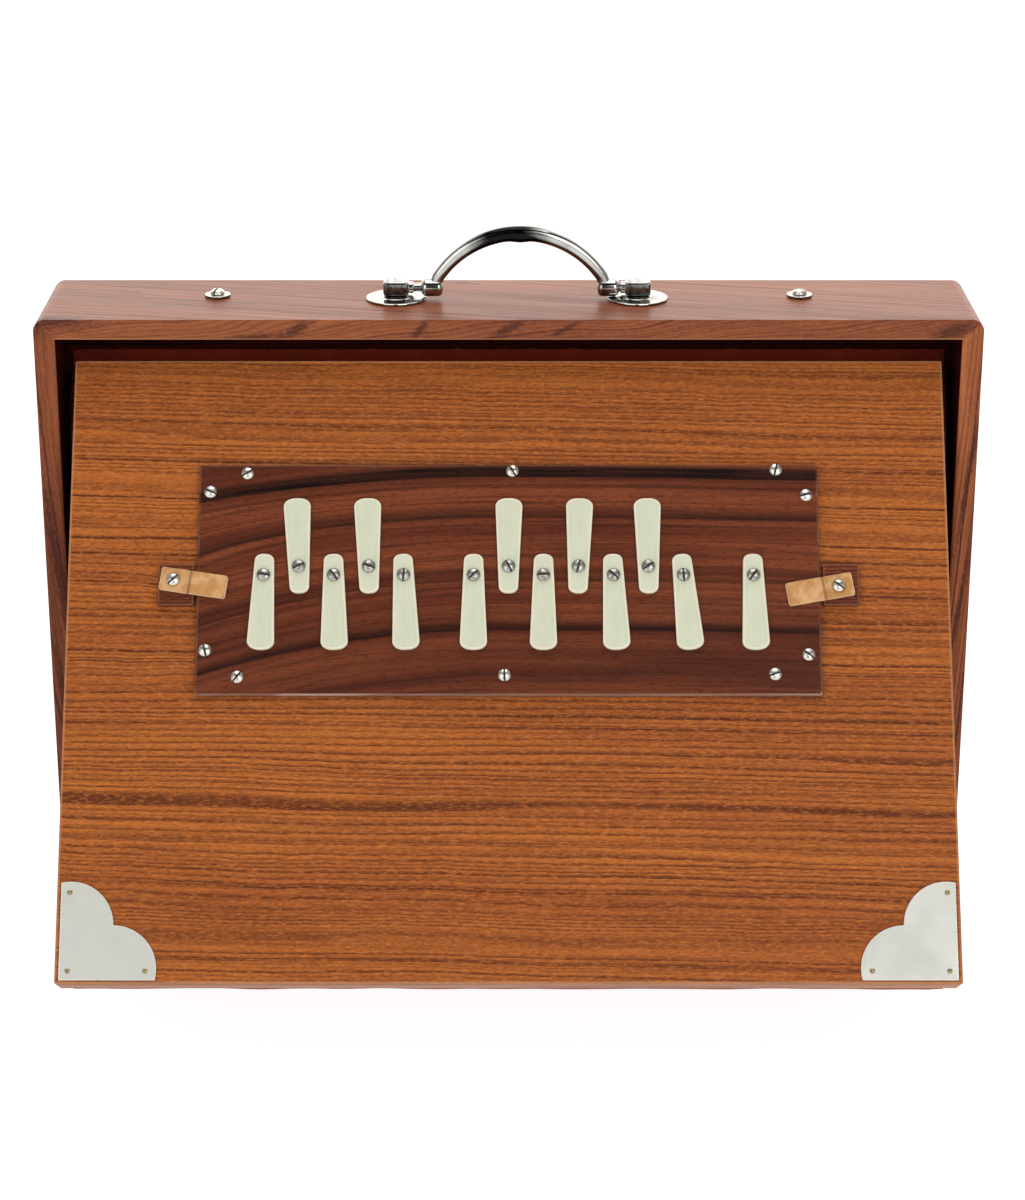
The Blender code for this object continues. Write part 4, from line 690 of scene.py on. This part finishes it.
def tube(name, stations, materials, matrix, steps=28, square=0.0):
    """A bar of changing radius along stations of point and radius; square flattens its sides a little."""
    rows = []
    side = Vector((0, 1, 0))
    for i, (point, radius) in enumerate(stations):
        before, after = stations[max(i - 1, 0)][0], stations[min(i + 1, len(stations) - 1)][0]
        forward = (Vector(after) - Vector(before)).normalized()
        side = (side - forward * side.dot(forward)).normalized()
        up = forward.cross(side)
        row = []
        for k in range(steps):
            angle = 2 * math.pi * k / steps
            reach = radius * (1 - square * math.cos(4 * angle))
            row.append(Vector(point) + reach * (side * math.cos(angle) + up * math.sin(angle)))
        rows.append(row)
    return mesh_object(name, loft(name, rows), materials, matrix)


def rod_x(start, end, radius, rounding, steps=32):
    """A mesh of a round rod along x with rounded ends."""
    low, high = min(start, end), max(start, end)
    bend = [(rounding * math.sin(a), rounding * (1 - math.cos(a))) for a in (0, 0.4, 0.8, 1.2, math.pi / 2)]
    profile = [(0.0, low)] + [(radius - rounding + out, low + back) for out, back in bend]
    profile += [(radius - rounding + out, high - back) for out, back in reversed(bend)] + [(0.0, high)]
    shape = turned(profile, steps)
    bmesh.ops.transform(shape, verts=shape.verts, matrix=Matrix.Rotation(math.pi / 2, 4, "Y"))
    return mesh_of(shape, "rod")


def painted_front_reflection(point, radius, rise):
    """How dark the bow's front is at a point: a painted dark reflection, black round its crown and in a line along its
    inner side.
    """
    crown = min(1.0, max(0.0, (point.x + 0.024) / 0.009)) * min(1.0, max(0.0, (0.0135 - point.x) / 0.010))
    inner = radius - math.hypot(point.x, point.z - (rise - radius))
    line = max(0.0, 1 - abs(inner - 0.0016) / 0.0012)
    return min(1.0, crown + 0.8 * line) * min(1.0, max(0.0, -point.y / 0.0010))


def make_handle():
    disc_profile = [
        (0.0021, 0.0), (0.0126, 0.0), (0.0129, 0.00015), (0.0130, 0.00042), (0.0129, 0.00066), (0.0125, 0.00082),
        (0.0110, 0.00090), (0.0092, 0.00098), (0.0084, 0.00112), (0.0079, 0.00140), (0.0074, 0.00165),
        (0.0066, 0.00180), (0.0021, 0.00180), (0.0021, 0.0)]
    for word, x, way in (("left", -0.0519, 1), ("right", 0.0519, -1)):
        disc = mesh_object("base_disc_" + word, mesh_of(turned(disc_profile, 72), "disc"), chrome,
                           Matrix.Translation(HANDLE + Vector((x, 0, 0.0003))))
        finish_piece(disc, "case", "chrome", "handle_disc_" + word)
        post = block("pivot_post_" + word, (0.011, 0.009, 0.0064), (0, 0, 0.0053), 0.0013, pitted_chrome,
                     Matrix.Translation(HANDLE + Vector((x, 0, 0))), segments=3)
        # The post's front face is darkened: a painted dark reflection.
        set_values(post.data, "worn", [0.6 if v.co.y < -0.0043 else 0.0 for v in post.data.vertices])
        for part in (rod_x(0.0, way * 0.0140, 0.0019, 0.0003), rod_x(0.0, way * 0.0075, 0.0026, 0.0004)):
            part.transform(Matrix.Translation((0, 0, 0.0052)))
            combine(post, part, "UNION")
        finish_piece(post, "case", "chrome", "handle_post_" + word)
    rise, half = 0.0238, 0.03615
    sagitta = rise - 0.00304
    radius = (half * half + sagitta * sagitta) / (2 * sagitta)
    widest = math.asin(half / radius)
    stations = [((-half, 0, z), 0.0028) for z in (-0.0006, 0.0006, 0.0018)]
    steps = 44
    for i in range(1, steps):
        angle = widest * (2 * i / steps - 1)
        share = abs(angle) / widest
        x = radius * math.sin(angle)
        swell = 0.0004 * math.exp(-(x / 0.0035) ** 2)
        thick = 0.0028 + 0.0006 * math.cos(share * math.pi / 2) + swell
        stations.append(((x, 0, rise - swell - radius * (1 - math.cos(angle))), thick))
    stations += [((half, 0, z), 0.0028) for z in (0.0018, 0.0006, -0.0006)]
    bow = tube("carrying_bow", stations, chrome, Matrix.Translation((0.0050, 0.001, 0.3142)), square=0.05)
    # The bow's front is darkened: a painted dark reflection.
    set_values(bow.data, "worn", [painted_front_reflection(v.co, radius, rise) for v in bow.data.vertices])
    for side in (-1, 1):
        combine(bow, rod_x(side * 0.03315, side * 0.04255, 0.0039, 0.0022, 32), "UNION")
        combine(bow, rod_x(side * 0.0356, side * 0.0460, 0.0022, 0.0001), "DIFFERENCE")
    finish_piece(bow, "handle", "chrome", "handle_bow")


# Chest

def on_chest(x, depth, z):
    """Matrix for a flat piece made facing +z, set on the chest at that depth."""
    return CHEST @ Matrix.Translation((x, depth, z)) @ FACING


def make_chest():
    half_z = -CHEST_HEIGHT / 2
    holes = [(x, 0, z + way * 0.025) for x, z, way, tail, lean in TONGUES]
    face = slab("face_board", rounded_rectangle(CHEST_WIDTH, CHEST_HEIGHT, 0.0007), 0.004, 0.0007, face_wood,
                on_chest(0, (FACE_BACK + FACE_FRONT) / 2, half_z), inner=0.0004)
    # The face board's sides and back are darkened: painted shade.
    set_values(face.data, "stained", [0.4 if v.co.z < 0.00131 else 0.0 for v in face.data.vertices])
    cut(face, rods([(x, z - half_z, 0) for x, y, z in holes], 0.003, 0.012))
    finish_piece(face, "chest", "face_teak", "chest_face")
    middle_y = (FRAME_BACK + FRAME_FRONT) / 2
    stile_height = CHEST_HEIGHT - 2 * (FRAME_BAR + FIT)
    stile_x = (CHEST_WIDTH - FRAME_BAR) / 2
    rail, stile = (CHEST_WIDTH, 0.014, FRAME_BAR), (FRAME_BAR, 0.014, stile_height)
    for name, size, centre, material in (
            ("top_rail", rail, (0, middle_y, -FRAME_BAR / 2), pale_x),
            ("bottom_rail", rail, (0, middle_y, FRAME_BAR / 2 - CHEST_HEIGHT), pale_x),
            ("left_stile", stile, (-stile_x, middle_y, half_z), pale_z),
            ("right_stile", stile, (stile_x, middle_y, half_z), pale_z)):
        piece = block("frame_" + name, size, centre, 0.0007, material, CHEST)
        finish_piece(piece, "chest", "pale_teak", "chest_" + name)


def make_key_plate():
    middle = PLATE_TOP - PLATE_HEIGHT / 2
    plate = slab("rosewood_plate", rounded_rectangle(PLATE_WIDTH, PLATE_HEIGHT, 0.0008), 0.003, 0.0005,
                 rosewood_material, on_chest(0, (PLATE_BACK + PLATE_FRONT) / 2, middle), inner=0.0003)
    cut(plate, rods([(x, z + way * 0.025 - middle, 0) for x, z, way, tail, lean in TONGUES], 0.003, 0.012))
    finish_piece(plate, "chest", "rosewood", "key_plate")
    head = screw_head(0.0028, 0.0016, 0.0012, 0.0015)
    spins = (0.55, 2.1, 1.35, 2.75, 0.2, 1.8, 2.45, 0.9, 1.6, 0.35)
    places = [facing_at(x, PLATE_FRONT, z, spin) for (x, z), spin in zip(PLATE_SCREWS, spins)]
    finish_piece(copies("plate_screws", head, places, [nickel, painted_shade_metal], CHEST), "chest", "nickel", "key_plate")
    deep = screw_head(0.0028, 0.0016, 0.0012, 0.0035)
    places = [facing_at(x, TONGUE_FRONT - FIT, z, 0.4 + 2.4 * i) for i, (x, z, *rest) in enumerate(TONGUES)]
    screws = copies("tongue_screws", deep, places, [dull_nickel, painted_shade_metal], CHEST)
    finish_piece(screws, "chest", "nickel", "key_plate")


def tongue_outline(tail):
    """A tongue seen from the front, its wide end up and its screw at the origin."""
    points = []
    for way, half, reach, arch in ((1, 0.0057, 0.041 - tail, 0.0036), (-1, 0.0041, tail, 0.0030)):
        for i in range(25):
            angle = math.pi * i / 24
            across = half * math.copysign(abs(math.cos(angle)) ** 0.80, math.cos(angle))
            points.append((way * across, way * (reach - arch + arch * math.sin(angle))))
    return points


def make_tongues():
    for i, (x, z, way, tail, lean) in enumerate(TONGUES):
        turn = math.radians(lean) if way > 0 else math.pi - math.radians(lean)
        matrix = CHEST @ Matrix.Translation((x, (TONGUE_BACK + TONGUE_FRONT) / 2, z)) @ Matrix.Rotation(
            turn, 4, "Y") @ FACING
        name = "tongue_%02d" % (i + 1)
        piece = slab("ivory_" + name, tongue_outline(tail), 0.0018, 0.00055, ivory_material, matrix, inner=0.0005)
        finish_piece(piece, name, "ivory", name)


def make_corner_plates():
    radius, shift, side_gap = 0.0179, 0.0044, 0.0006
    end = math.asin(shift / radius)
    across = arc((shift + radius, shift), radius, -end, math.pi / 2, 24)
    upward = arc((shift, shift + radius), radius, 0, math.pi / 2 + math.asin((shift - side_gap) / radius), 24)
    outline = [(side_gap, 0), *across, *upward[1:]]
    far = shift + 2 * radius - 0.0045
    nail_profile = [(0.0, 0.00052), (0.0004, 0.00050), (0.0008, 0.00038), (0.00105, 0.00018), (0.0011, 0.0),
                    (0.0011, -0.0004), (0.0, -0.0004)]
    nail = mesh_of(turned(nail_profile, 28), "nail")
    for word, side in (("left", -1), ("right", 1)):
        shape = outline if side < 0 else [(-x, y) for x, y in reversed(outline)]
        matrix = on_chest(side * (CHEST_WIDTH / 2 - 0.0013), -0.0220, 0.0013 - CHEST_HEIGHT)
        plate = slab("lobed_plate_" + word, shape, 0.0008, 0.0002, aluminium, matrix, steps=2, inner=0.0002)
        finish_piece(plate, "chest", "aluminium", "corner_plate_" + word)
        places = [Matrix.Translation((-side * x, y, 0.0004))
                  for x, y in ((0.0042, 0.0037), (0.0042, far), (far, 0.0037))]
        nails = copies("brass_nails_" + word, nail, places, brass, matrix)
        finish_piece(nails, "chest", "brass", "corner_plate_" + word)


# Leather tabs

def strap_mesh(name, side, root, flap, reach):
    """A strap along x with its crease at 0 and its front at y = 0, rounded at its cut edges."""
    width, thick, corner, edge = 0.0099, 0.0018, 0.0010, 0.00035
    start, end = -side * flap, side * root
    count = 90
    xs = [start + (end - start) * i / count for i in range(count + 1)]
    ends = [0.0, 0.02, 0.08, 0.18, 0.32, 0.5, 0.72]
    xs = [start + (end - start) / abs(end - start) * corner * e for e in ends] + [
        x for x in xs if abs(x - start) > corner and abs(x - end) > corner] + [
        end - (end - start) / abs(end - start) * corner * e for e in reversed(ends)]
    section = []
    for u, v, quarter in ((1, 1, 0), (-1, 1, 1), (-1, -1, 2), (1, -1, 3)):
        for k in range(5):
            angle = (quarter + k / 4) * math.pi / 2
            section.append((u, v, edge * math.cos(angle), edge * math.sin(angle)))
        if quarter in (0, 2):
            for k in range(1, 14):
                section.append((u * (1 - 2 * k / 14), v, 0.0, edge * v))
    rows, flat, edges, worn, crease = [], [], [], [], []
    for x in xs:
        near = min(abs(x - start), abs(x - end))
        pull = corner - math.sqrt(max(0.0, corner ** 2 - max(0.0, corner - near) ** 2))
        soft = 0.00025 - math.sqrt(max(0.0, 0.00025 ** 2 - max(0.0, 0.00025 - near) ** 2))
        thin = 0.00050 * max(0.0, 1 - abs(x - start) / 0.0035) ** 2
        groove = 0.00022 * math.exp(-((x + side * 0.0002) / 0.0007) ** 2)
        swell = 0.00012 * math.exp(-((abs(x) - 0.0018) / 0.0010) ** 2)
        row = []
        for u, v, du, dv in section:
            across = u * (width / 2 - pull - edge) + du
            wave = 0.00010 * noise.noise(Vector((x * 260, across * 300, side)))
            uneven = 0.00012 * noise.noise(Vector((x * 180, u * 9, 3 + side)))
            across += uneven * abs(u)
            high = v * (thick / 2 - edge - soft) + dv
            if v > 0:
                dent = 0.00022 * math.exp(-((math.hypot(x - side * reach, across)) / 0.0030) ** 4)
                high += wave + swell - groove - dent - thin
            row.append((x, -(high - thick / 2) - thick, across))
            row[-1] = (x, thick / 2 - high, across)
            flat.append((x, across, high))
            edges.append(0.85 if abs(dv) < 0.9 * edge or near < 0.0003 else 0.0)
            worn.append(max(0.0, 1 - abs(x - start) / 0.0022) * 0.7)
            # Darkest on the fold and fainter to one side of it: painted shade of the crease.
            crease.append(0.70 * math.exp(-((x + side * 0.0002) / 0.00050) ** 2)
                          + 0.16 * math.exp(-((x - side * 0.0012) / 0.0014) ** 2))
        rows.append(row)
    mesh = loft(name, rows)
    set_values(mesh, "flat", flat, "FLOAT_VECTOR")
    set_values(mesh, "edge", edges)
    set_values(mesh, "worn", worn)
    set_values(mesh, "crease", crease)
    return mesh


def make_tabs():
    head = screw_head(0.0028, 0.0016, 0.0012, 0.0032)
    for word, side, outward, rise, turn, reach, spin in (
            ("left", -1, 0.0032, 0.0006, 8.4, 0.0067, 0.9), ("right", 1, 0.0017, -0.0021, -9.9, 0.0061, 2.3)):
        block_x = side * (PLATE_WIDTH / 2 + 0.0014 + 0.0075)
        base = slab("tab_base_" + word, rounded_rectangle(0.015, 0.0177, 0.0006), 0.003, 0.0005, block_wood,
                    on_chest(block_x, (PLATE_BACK + PLATE_FRONT) / 2, TAB_MIDDLE), inner=0.0003)
        finish_piece(base, "chest", "rosewood", "tab_block_" + word)
        crease = CHEST @ Matrix.Translation((
            side * (PLATE_WIDTH / 2 + outward), TONGUE_FRONT, TAB_MIDDLE + rise)) @ Matrix.Rotation(
                math.radians(turn), 4, "Y")
        spot = Matrix.Translation((side * reach, -FIT, 0)) @ FACING @ Matrix.Rotation(spin, 4, "Z")
        finish_piece(copies("tab_screw_top_" + word, head, [spot], [nickel, painted_shade_metal], crease), "chest", "nickel",
                     "tab_block_" + word)
        name = "leather_strap_" + word
        strap = mesh_object(name, strap_mesh(name, side, 0.0122, 0.0158, reach), strap_leather, crease)
        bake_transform(strap)
        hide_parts("leather_tab_root_" + word, "leather_tab_flap_" + word)


# Bellows

FOLDS = 6
FOLD_STEPS = 10


def fold_depth(drop, angle):
    return min(0.012, 2.2 * (0.006 + drop * angle) / (2 * FOLDS))


def bellows_mesh(name, length, angle, widest_angle, towards, thickness):
    """Pleated cloth round two sides and the foot; its creases fan out about the hinge line."""
    width = CHEST_WIDTH - 0.003
    top = 0.0036
    side_steps, foot_steps = 44, 60
    line = []
    for i in range(side_steps + 1):
        share = i / side_steps
        line.append((-1.0, top + (length - top) * (share * 0.55 + 0.45 * share ** 1.6), 0.0))
    for i in range(1, foot_steps):
        line.append((2 * i / foot_steps - 1, length, 1.0))
    line += [(1.0, drop, foot) for x, drop, foot in reversed(line[:side_steps + 1])]
    rows, flat, shares = [], [], []
    count = 2 * FOLDS * FOLD_STEPS
    for i in range(count + 1):
        share = i / count
        phase = i / FOLD_STEPS
        inward = 0.5 - 0.5 * math.cos(math.pi * phase)
        straight = abs((phase + 1) % 2 - 1)
        inward = 0.78 * straight + 0.22 * inward
        inward = 0.02 + 0.96 * inward
        turn = Matrix.Rotation(towards * -angle * share, 4, "X")
        row = []
        walked = 0.0
        before = None
        for across, drop, foot in line:
            depth = fold_depth(drop, widest_angle)
            foot_depth = fold_depth(length, widest_angle)
            sag = 0.0009 * noise.noise(Vector((across * 9 + towards, drop * 40, phase * 0.9)))
            gather = inward * depth
            slack = 0.0058 * max(0.0, 1 - (drop / 0.12) ** 2) * min(1.0, phase, 2 * FOLDS - phase)
            x = across * (width / 2 + slack - gather * (1.0 if not foot else foot_depth / depth))
            z = drop - inward * foot_depth if foot else min(drop, length - inward * foot_depth)
            if foot:
                z -= sag * 0.5 * min(1.0, phase, 2 * FOLDS - phase)
            else:
                x -= math.copysign(abs(sag) * 0.4, across) * min(1.0, phase, 2 * FOLDS - phase)
            y = towards * 0.0024 * (1 - 2 * share)
            point = turn @ Vector((x, y, -z))
            row.append(point)
            here = Vector((across * width / 2, -drop if not foot else -length, 0))
            walked += (here - before).length if before is not None else 0.0
            before = here
            flat.append((walked, phase * depth, 0.0))
            shares.append(share)
        rows.append(row)
    mesh = loft(name, rows, closed=False, caps=False)
    set_values(mesh, "flat", flat, "FLOAT_VECTOR")
    set_values(mesh, "share", shares)
    obj = bpy.data.objects.new(name, mesh)
    bpy.context.scene.collection.objects.link(obj)
    shell = obj.modifiers.new("cloth", "SOLIDIFY")
    shell.thickness = thickness
    shell.offset = 0
    bpy.context.view_layer.update()
    graph = bpy.context.evaluated_depsgraph_get()
    thick = bpy.data.meshes.new_from_object(obj.evaluated_get(graph), depsgraph=graph)
    bpy.data.objects.remove(obj)
    return thick


def weights_by(obj, name):
    """Read each point's stored share of the joint; nothing further is done with it."""
    data = obj.data.attributes[name].data
    values = np.empty(len(data), np.float32)
    data.foreach_get("value", values)


def make_bellows():
    front_length, rear_length = CHEST_HEIGHT - 0.0015, PUMP_HEIGHT - 0.0015
    for name, node, hinge, length, angle, widest, towards, body, board in (
            ("pleated_front_bellows", "front_bellows", FRONT_HINGE, front_length, OPEN_ANGLE, OPEN_ANGLE, 1, "chest",
             "frame_bottom_rail"),
            ("pleated_rear_bellows", "rear_bellows", REAR_HINGE, rear_length, 0.0, math.radians(25), -1, "pump",
             "pump_panel")):
        mesh = bellows_mesh(name, length, angle, widest, towards, 0.00030 if towards > 0 else 0.00020)
        piece = mesh_object(name, mesh, bellows_cloth, Matrix.Translation(hinge), smooth=math.radians(70))
        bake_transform(piece)
        weights_by(piece, "share")
        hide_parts(node)


def hinge_strip(name, hinge, height, towards, node):
    """Cloth glued to the centre board whose lower edge is rolled round the hinge line."""
    roll = 0.00235
    path = [(0.0024, height * (1 - i / 12)) for i in range(12)]
    path += [(roll * math.cos(a), roll * math.sin(a)) for a in (-2 * math.pi * 0.93 * i / 40 for i in range(41))]
    rows, flat = [], []
    half = 0.1885
    for i in range(121):
        x = half * (i / 60 - 1)
        row = []
        walked = 0.0
        for k, (y, z) in enumerate(path):
            if k:
                walked += math.dist(path[k], path[k - 1])
            wave = 0.00014 * noise.noise(Vector((x * 45, k * 0.25, towards)))
            fray = 0.0005 * noise.noise(Vector((x * 160, 5, towards))) * max(0.0, 1 - k / 3)
            row.append((x, towards * (y + wave if k > 12 else y), z + fray + (wave if k > 12 else 0)))
            flat.append((x, walked, 0.0))
        rows.append(row)
    mesh = loft(name, rows, closed=False, caps=False)
    set_values(mesh, "flat", flat, "FLOAT_VECTOR")
    piece = mesh_object(name, mesh, bellows_cloth, Matrix.Translation(hinge), smooth=math.radians(80))
    shell = piece.modifiers.new("cloth", "SOLIDIFY")
    shell.thickness = 0.0005
    shell.offset = 0
    finish_piece(piece, "case", "maroon_cloth", node, weighted=False)


# Springs, valves and pump board

def turned_share(reach, clearance):
    """How much of the chest's swing a point takes, so that nothing is pressed into the board when it shuts."""
    angle = math.atan2(-reach.y, -reach.z) + math.asin(min(1.0, clearance / math.hypot(reach.y, reach.z)))
    return min(max(angle / OPEN_ANGLE, 0.0), 1.0)


def make_springs():
    coil_y, drop, coil_radius = FACE_BACK + 0.0003 + 0.0012 + 0.005, 0.046, 0.005
    for word, side in (("left", -1), ("right", 1)):
        tip = Matrix.Rotation(OPEN_ANGLE, 3, "X") @ Vector((0, 0.0015, -0.205))
        away = Vector((tip.y - coil_y, tip.z + drop))
        leave = math.atan2(away.y, away.x) + math.acos(coil_radius / away.length)
        sweep = math.pi - leave + 2 * math.pi
        climb = 0.0032 * sweep / (2 * math.pi)
        points = [(side * 0.148, coil_y - coil_radius, -drop - 0.120 * (1 - i / 24)) for i in range(24)]
        for i in range(73):
            angle = math.pi - sweep * i / 72
            points.append((side * (0.148 + climb * i / 72), coil_y + coil_radius * math.cos(angle),
                           -drop + coil_radius * math.sin(angle)))
        last = Vector(points[-1])
        foot = Vector((last.x, tip.y, tip.z))
        points += [last.lerp(foot, i / 32) for i in range(1, 33)]
        stations = [(point, 0.0012 if 0 < k < len(points) - 1 else 0.0011) for k, point in enumerate(points)]
        wire = tube("coiled_spring_" + word, stations, spring_steel, CHEST, steps=14)
        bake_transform(wire)
        set_values(wire.data, "share", [turned_share(v.co - FRONT_HINGE, 0.0015) for v in wire.data.vertices])
        weights_by(wire, "share")
        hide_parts("opening_spring_" + word)


def make_valves():
    for kind, top, front in (("transfer", FRONT_HINGE.z - 0.150, 0.0), ("intake", REAR_HINGE.z - 0.090, 0.016)):
        for word, x in (("left", -0.070), ("right", 0.070)):
            flap = slab("%s_valve_%s" % (kind, word), rounded_rectangle(0.0600, 0.0240, 0.0009), 0.0015, 0.0003,
                        valve_leather, Matrix.Translation((x, front - 0.00105, top - 0.012)) @ FACING, inner=0.0005)
            flat = [tuple(v.co) for v in flap.data.vertices]
            set_values(flap.data, "flat", flat, "FLOAT_VECTOR")
            finish_piece(flap, "%s_flap_%s" % (kind, word), "valve_leather", "%s_flap_%s" % (kind, word))


def make_pump_board():
    board = block("pump_panel", (0.378, 0.010, 0.282), (0, 0.008, -0.141), 0.0011, inner_x,
                  Matrix.Translation(REAR_HINGE), segments=4)
    turn = Matrix.Rotation(math.pi / 2, 4, "X")
    places = [(x + step * 0.017, 0.008, -0.102) for x in (-0.070, 0.070) for step in (-1, 0, 1)]
    cut(board, rods(places, 0.0055, 0.03, turn))
    finish_piece(board, "pump", "inner_ply", "pump_board")


def paint(material, *names):
    for name in names:
        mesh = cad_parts[name].data
        mesh.materials.clear()
        mesh.materials.append(material)


PLATE_SCREWS = (
    (-0.1099, -0.0509), (0.0016, -0.0498), (0.1125, -0.0492), (-0.1253, -0.0590), (0.1250, -0.0604),
    (-0.1262, -0.1272), (0.1247, -0.1290), (-0.1126, -0.1385), (-0.0017, -0.1377), (0.1106, -0.1373))

make_case()
make_centre_board()
make_case_screws()
make_handle()
make_chest()
make_key_plate()
make_tongues()
make_corner_plates()
make_tabs()
make_bellows()
hinge_strip("front_hinge_strip", FRONT_HINGE, 0.0112, 1, "front_hinge_cloth")
hinge_strip("rear_hinge_strip", REAR_HINGE, 0.0055, -1, "rear_hinge_cloth")
make_springs()
make_valves()
make_pump_board()
paint(pale_x, "transfer_batten_left", "transfer_batten_right", "intake_batten_left", "intake_batten_right")
paint(inner_chest, "reed_block_upper", "reed_block_lower")
paint(brass, "reed_plate_upper", "reed_plate_lower")


# Studio

def make_studio():
    scene = bpy.context.scene
    scene.view_settings.view_transform = "Standard"
    camera = bpy.data.objects.new("camera", bpy.data.cameras.new("camera"))
    scene.collection.objects.link(camera)
    camera.location = (0, -1.2641, 0.6463)
    camera.rotation_euler = Vector((0, 0.936, -0.352)).to_track_quat("-Z", "Y").to_euler()
    camera.data.lens = 90.81
    camera.data.sensor_width = 36
    camera.data.shift_x = 0.0033
    scene.camera = camera
    shape = bmesh.new()
    bmesh.ops.create_grid(shape, x_segments=1, y_segments=1, size=12)
    floor_nodes = Nodes("floor", roughness=0.9, specular_ior_level=0.1)
    cloud = floor_nodes.noise(floor_nodes.place(), (3.0, 3.0, 3.0))
    floor_nodes.surface(base_color=floor_nodes.mix(cloud, (0.28, 0.28, 0.28), (0.31, 0.31, 0.31)))
    floor_nodes.surface(emission_color=(1, 1, 1, 1))
    floor_nodes.surface(emission_strength=0.93)
    floor = mesh_object("floor", mesh_of(shape, "floor"), floor_nodes.material, Matrix.Translation((0, 0, -0.0002)))
    world = bpy.data.worlds.new("studio")
    scene.world = world
    world.use_nodes = True
    tree = world.node_tree
    tree.nodes.clear()
    output = tree.nodes.new("ShaderNodeOutputWorld")
    background = tree.nodes.new("ShaderNodeBackground")
    background.inputs["Color"].default_value = (0.82, 0.78, 0.75, 1)
    coordinates = tree.nodes.new("ShaderNodeTexCoord")
    levels = []
    for direction, low, high, ends in (
            ((0.0, -0.68, 0.74), 0.50, 0.93, (0.45, 0.05)), ((0.0, 0.94, 0.34), 0.30, 0.90, (0.0, 1.95))):
        facing = tree.nodes.new("ShaderNodeVectorMath")
        facing.operation = "DOT_PRODUCT"
        facing.inputs[1].default_value = direction
        spread = tree.nodes.new("ShaderNodeMapRange")
        spread.interpolation_type = "SMOOTHSTEP"
        for socket, value in zip(spread.inputs[1:5], (low, high, *ends)):
            socket.default_value = value
        tree.links.new(coordinates.outputs["Generated"], facing.inputs[0])
        tree.links.new(facing.outputs["Value"], spread.inputs["Value"])
        levels.append(spread.outputs["Result"])
    total = tree.nodes.new("ShaderNodeMath")
    total.operation = "ADD"
    for level, socket in zip(levels, total.inputs):
        tree.links.new(level, socket)
    tree.links.new(total.outputs[0], background.inputs["Strength"])
    tree.links.new(background.outputs[0], output.inputs["Surface"])
    for name, place, power, size in (
            ("key", (0.75, -1.6, 0.95), 11.5, 1.1), ("fill", (-0.9, -1.5, 0.85), 8.5, 1.2),
            ("top", (0.0, -0.1, 1.9), 12.0, 1.2)):
        data = bpy.data.lights.new(name, "AREA")
        data.energy = power
        data.size = size
        light = bpy.data.objects.new(name, data)
        scene.collection.objects.link(light)
        light.location = place
        light.rotation_euler = (Vector((0, 0, 0.15)) - Vector(place)).to_track_quat("-Z", "Y").to_euler()


make_studio()
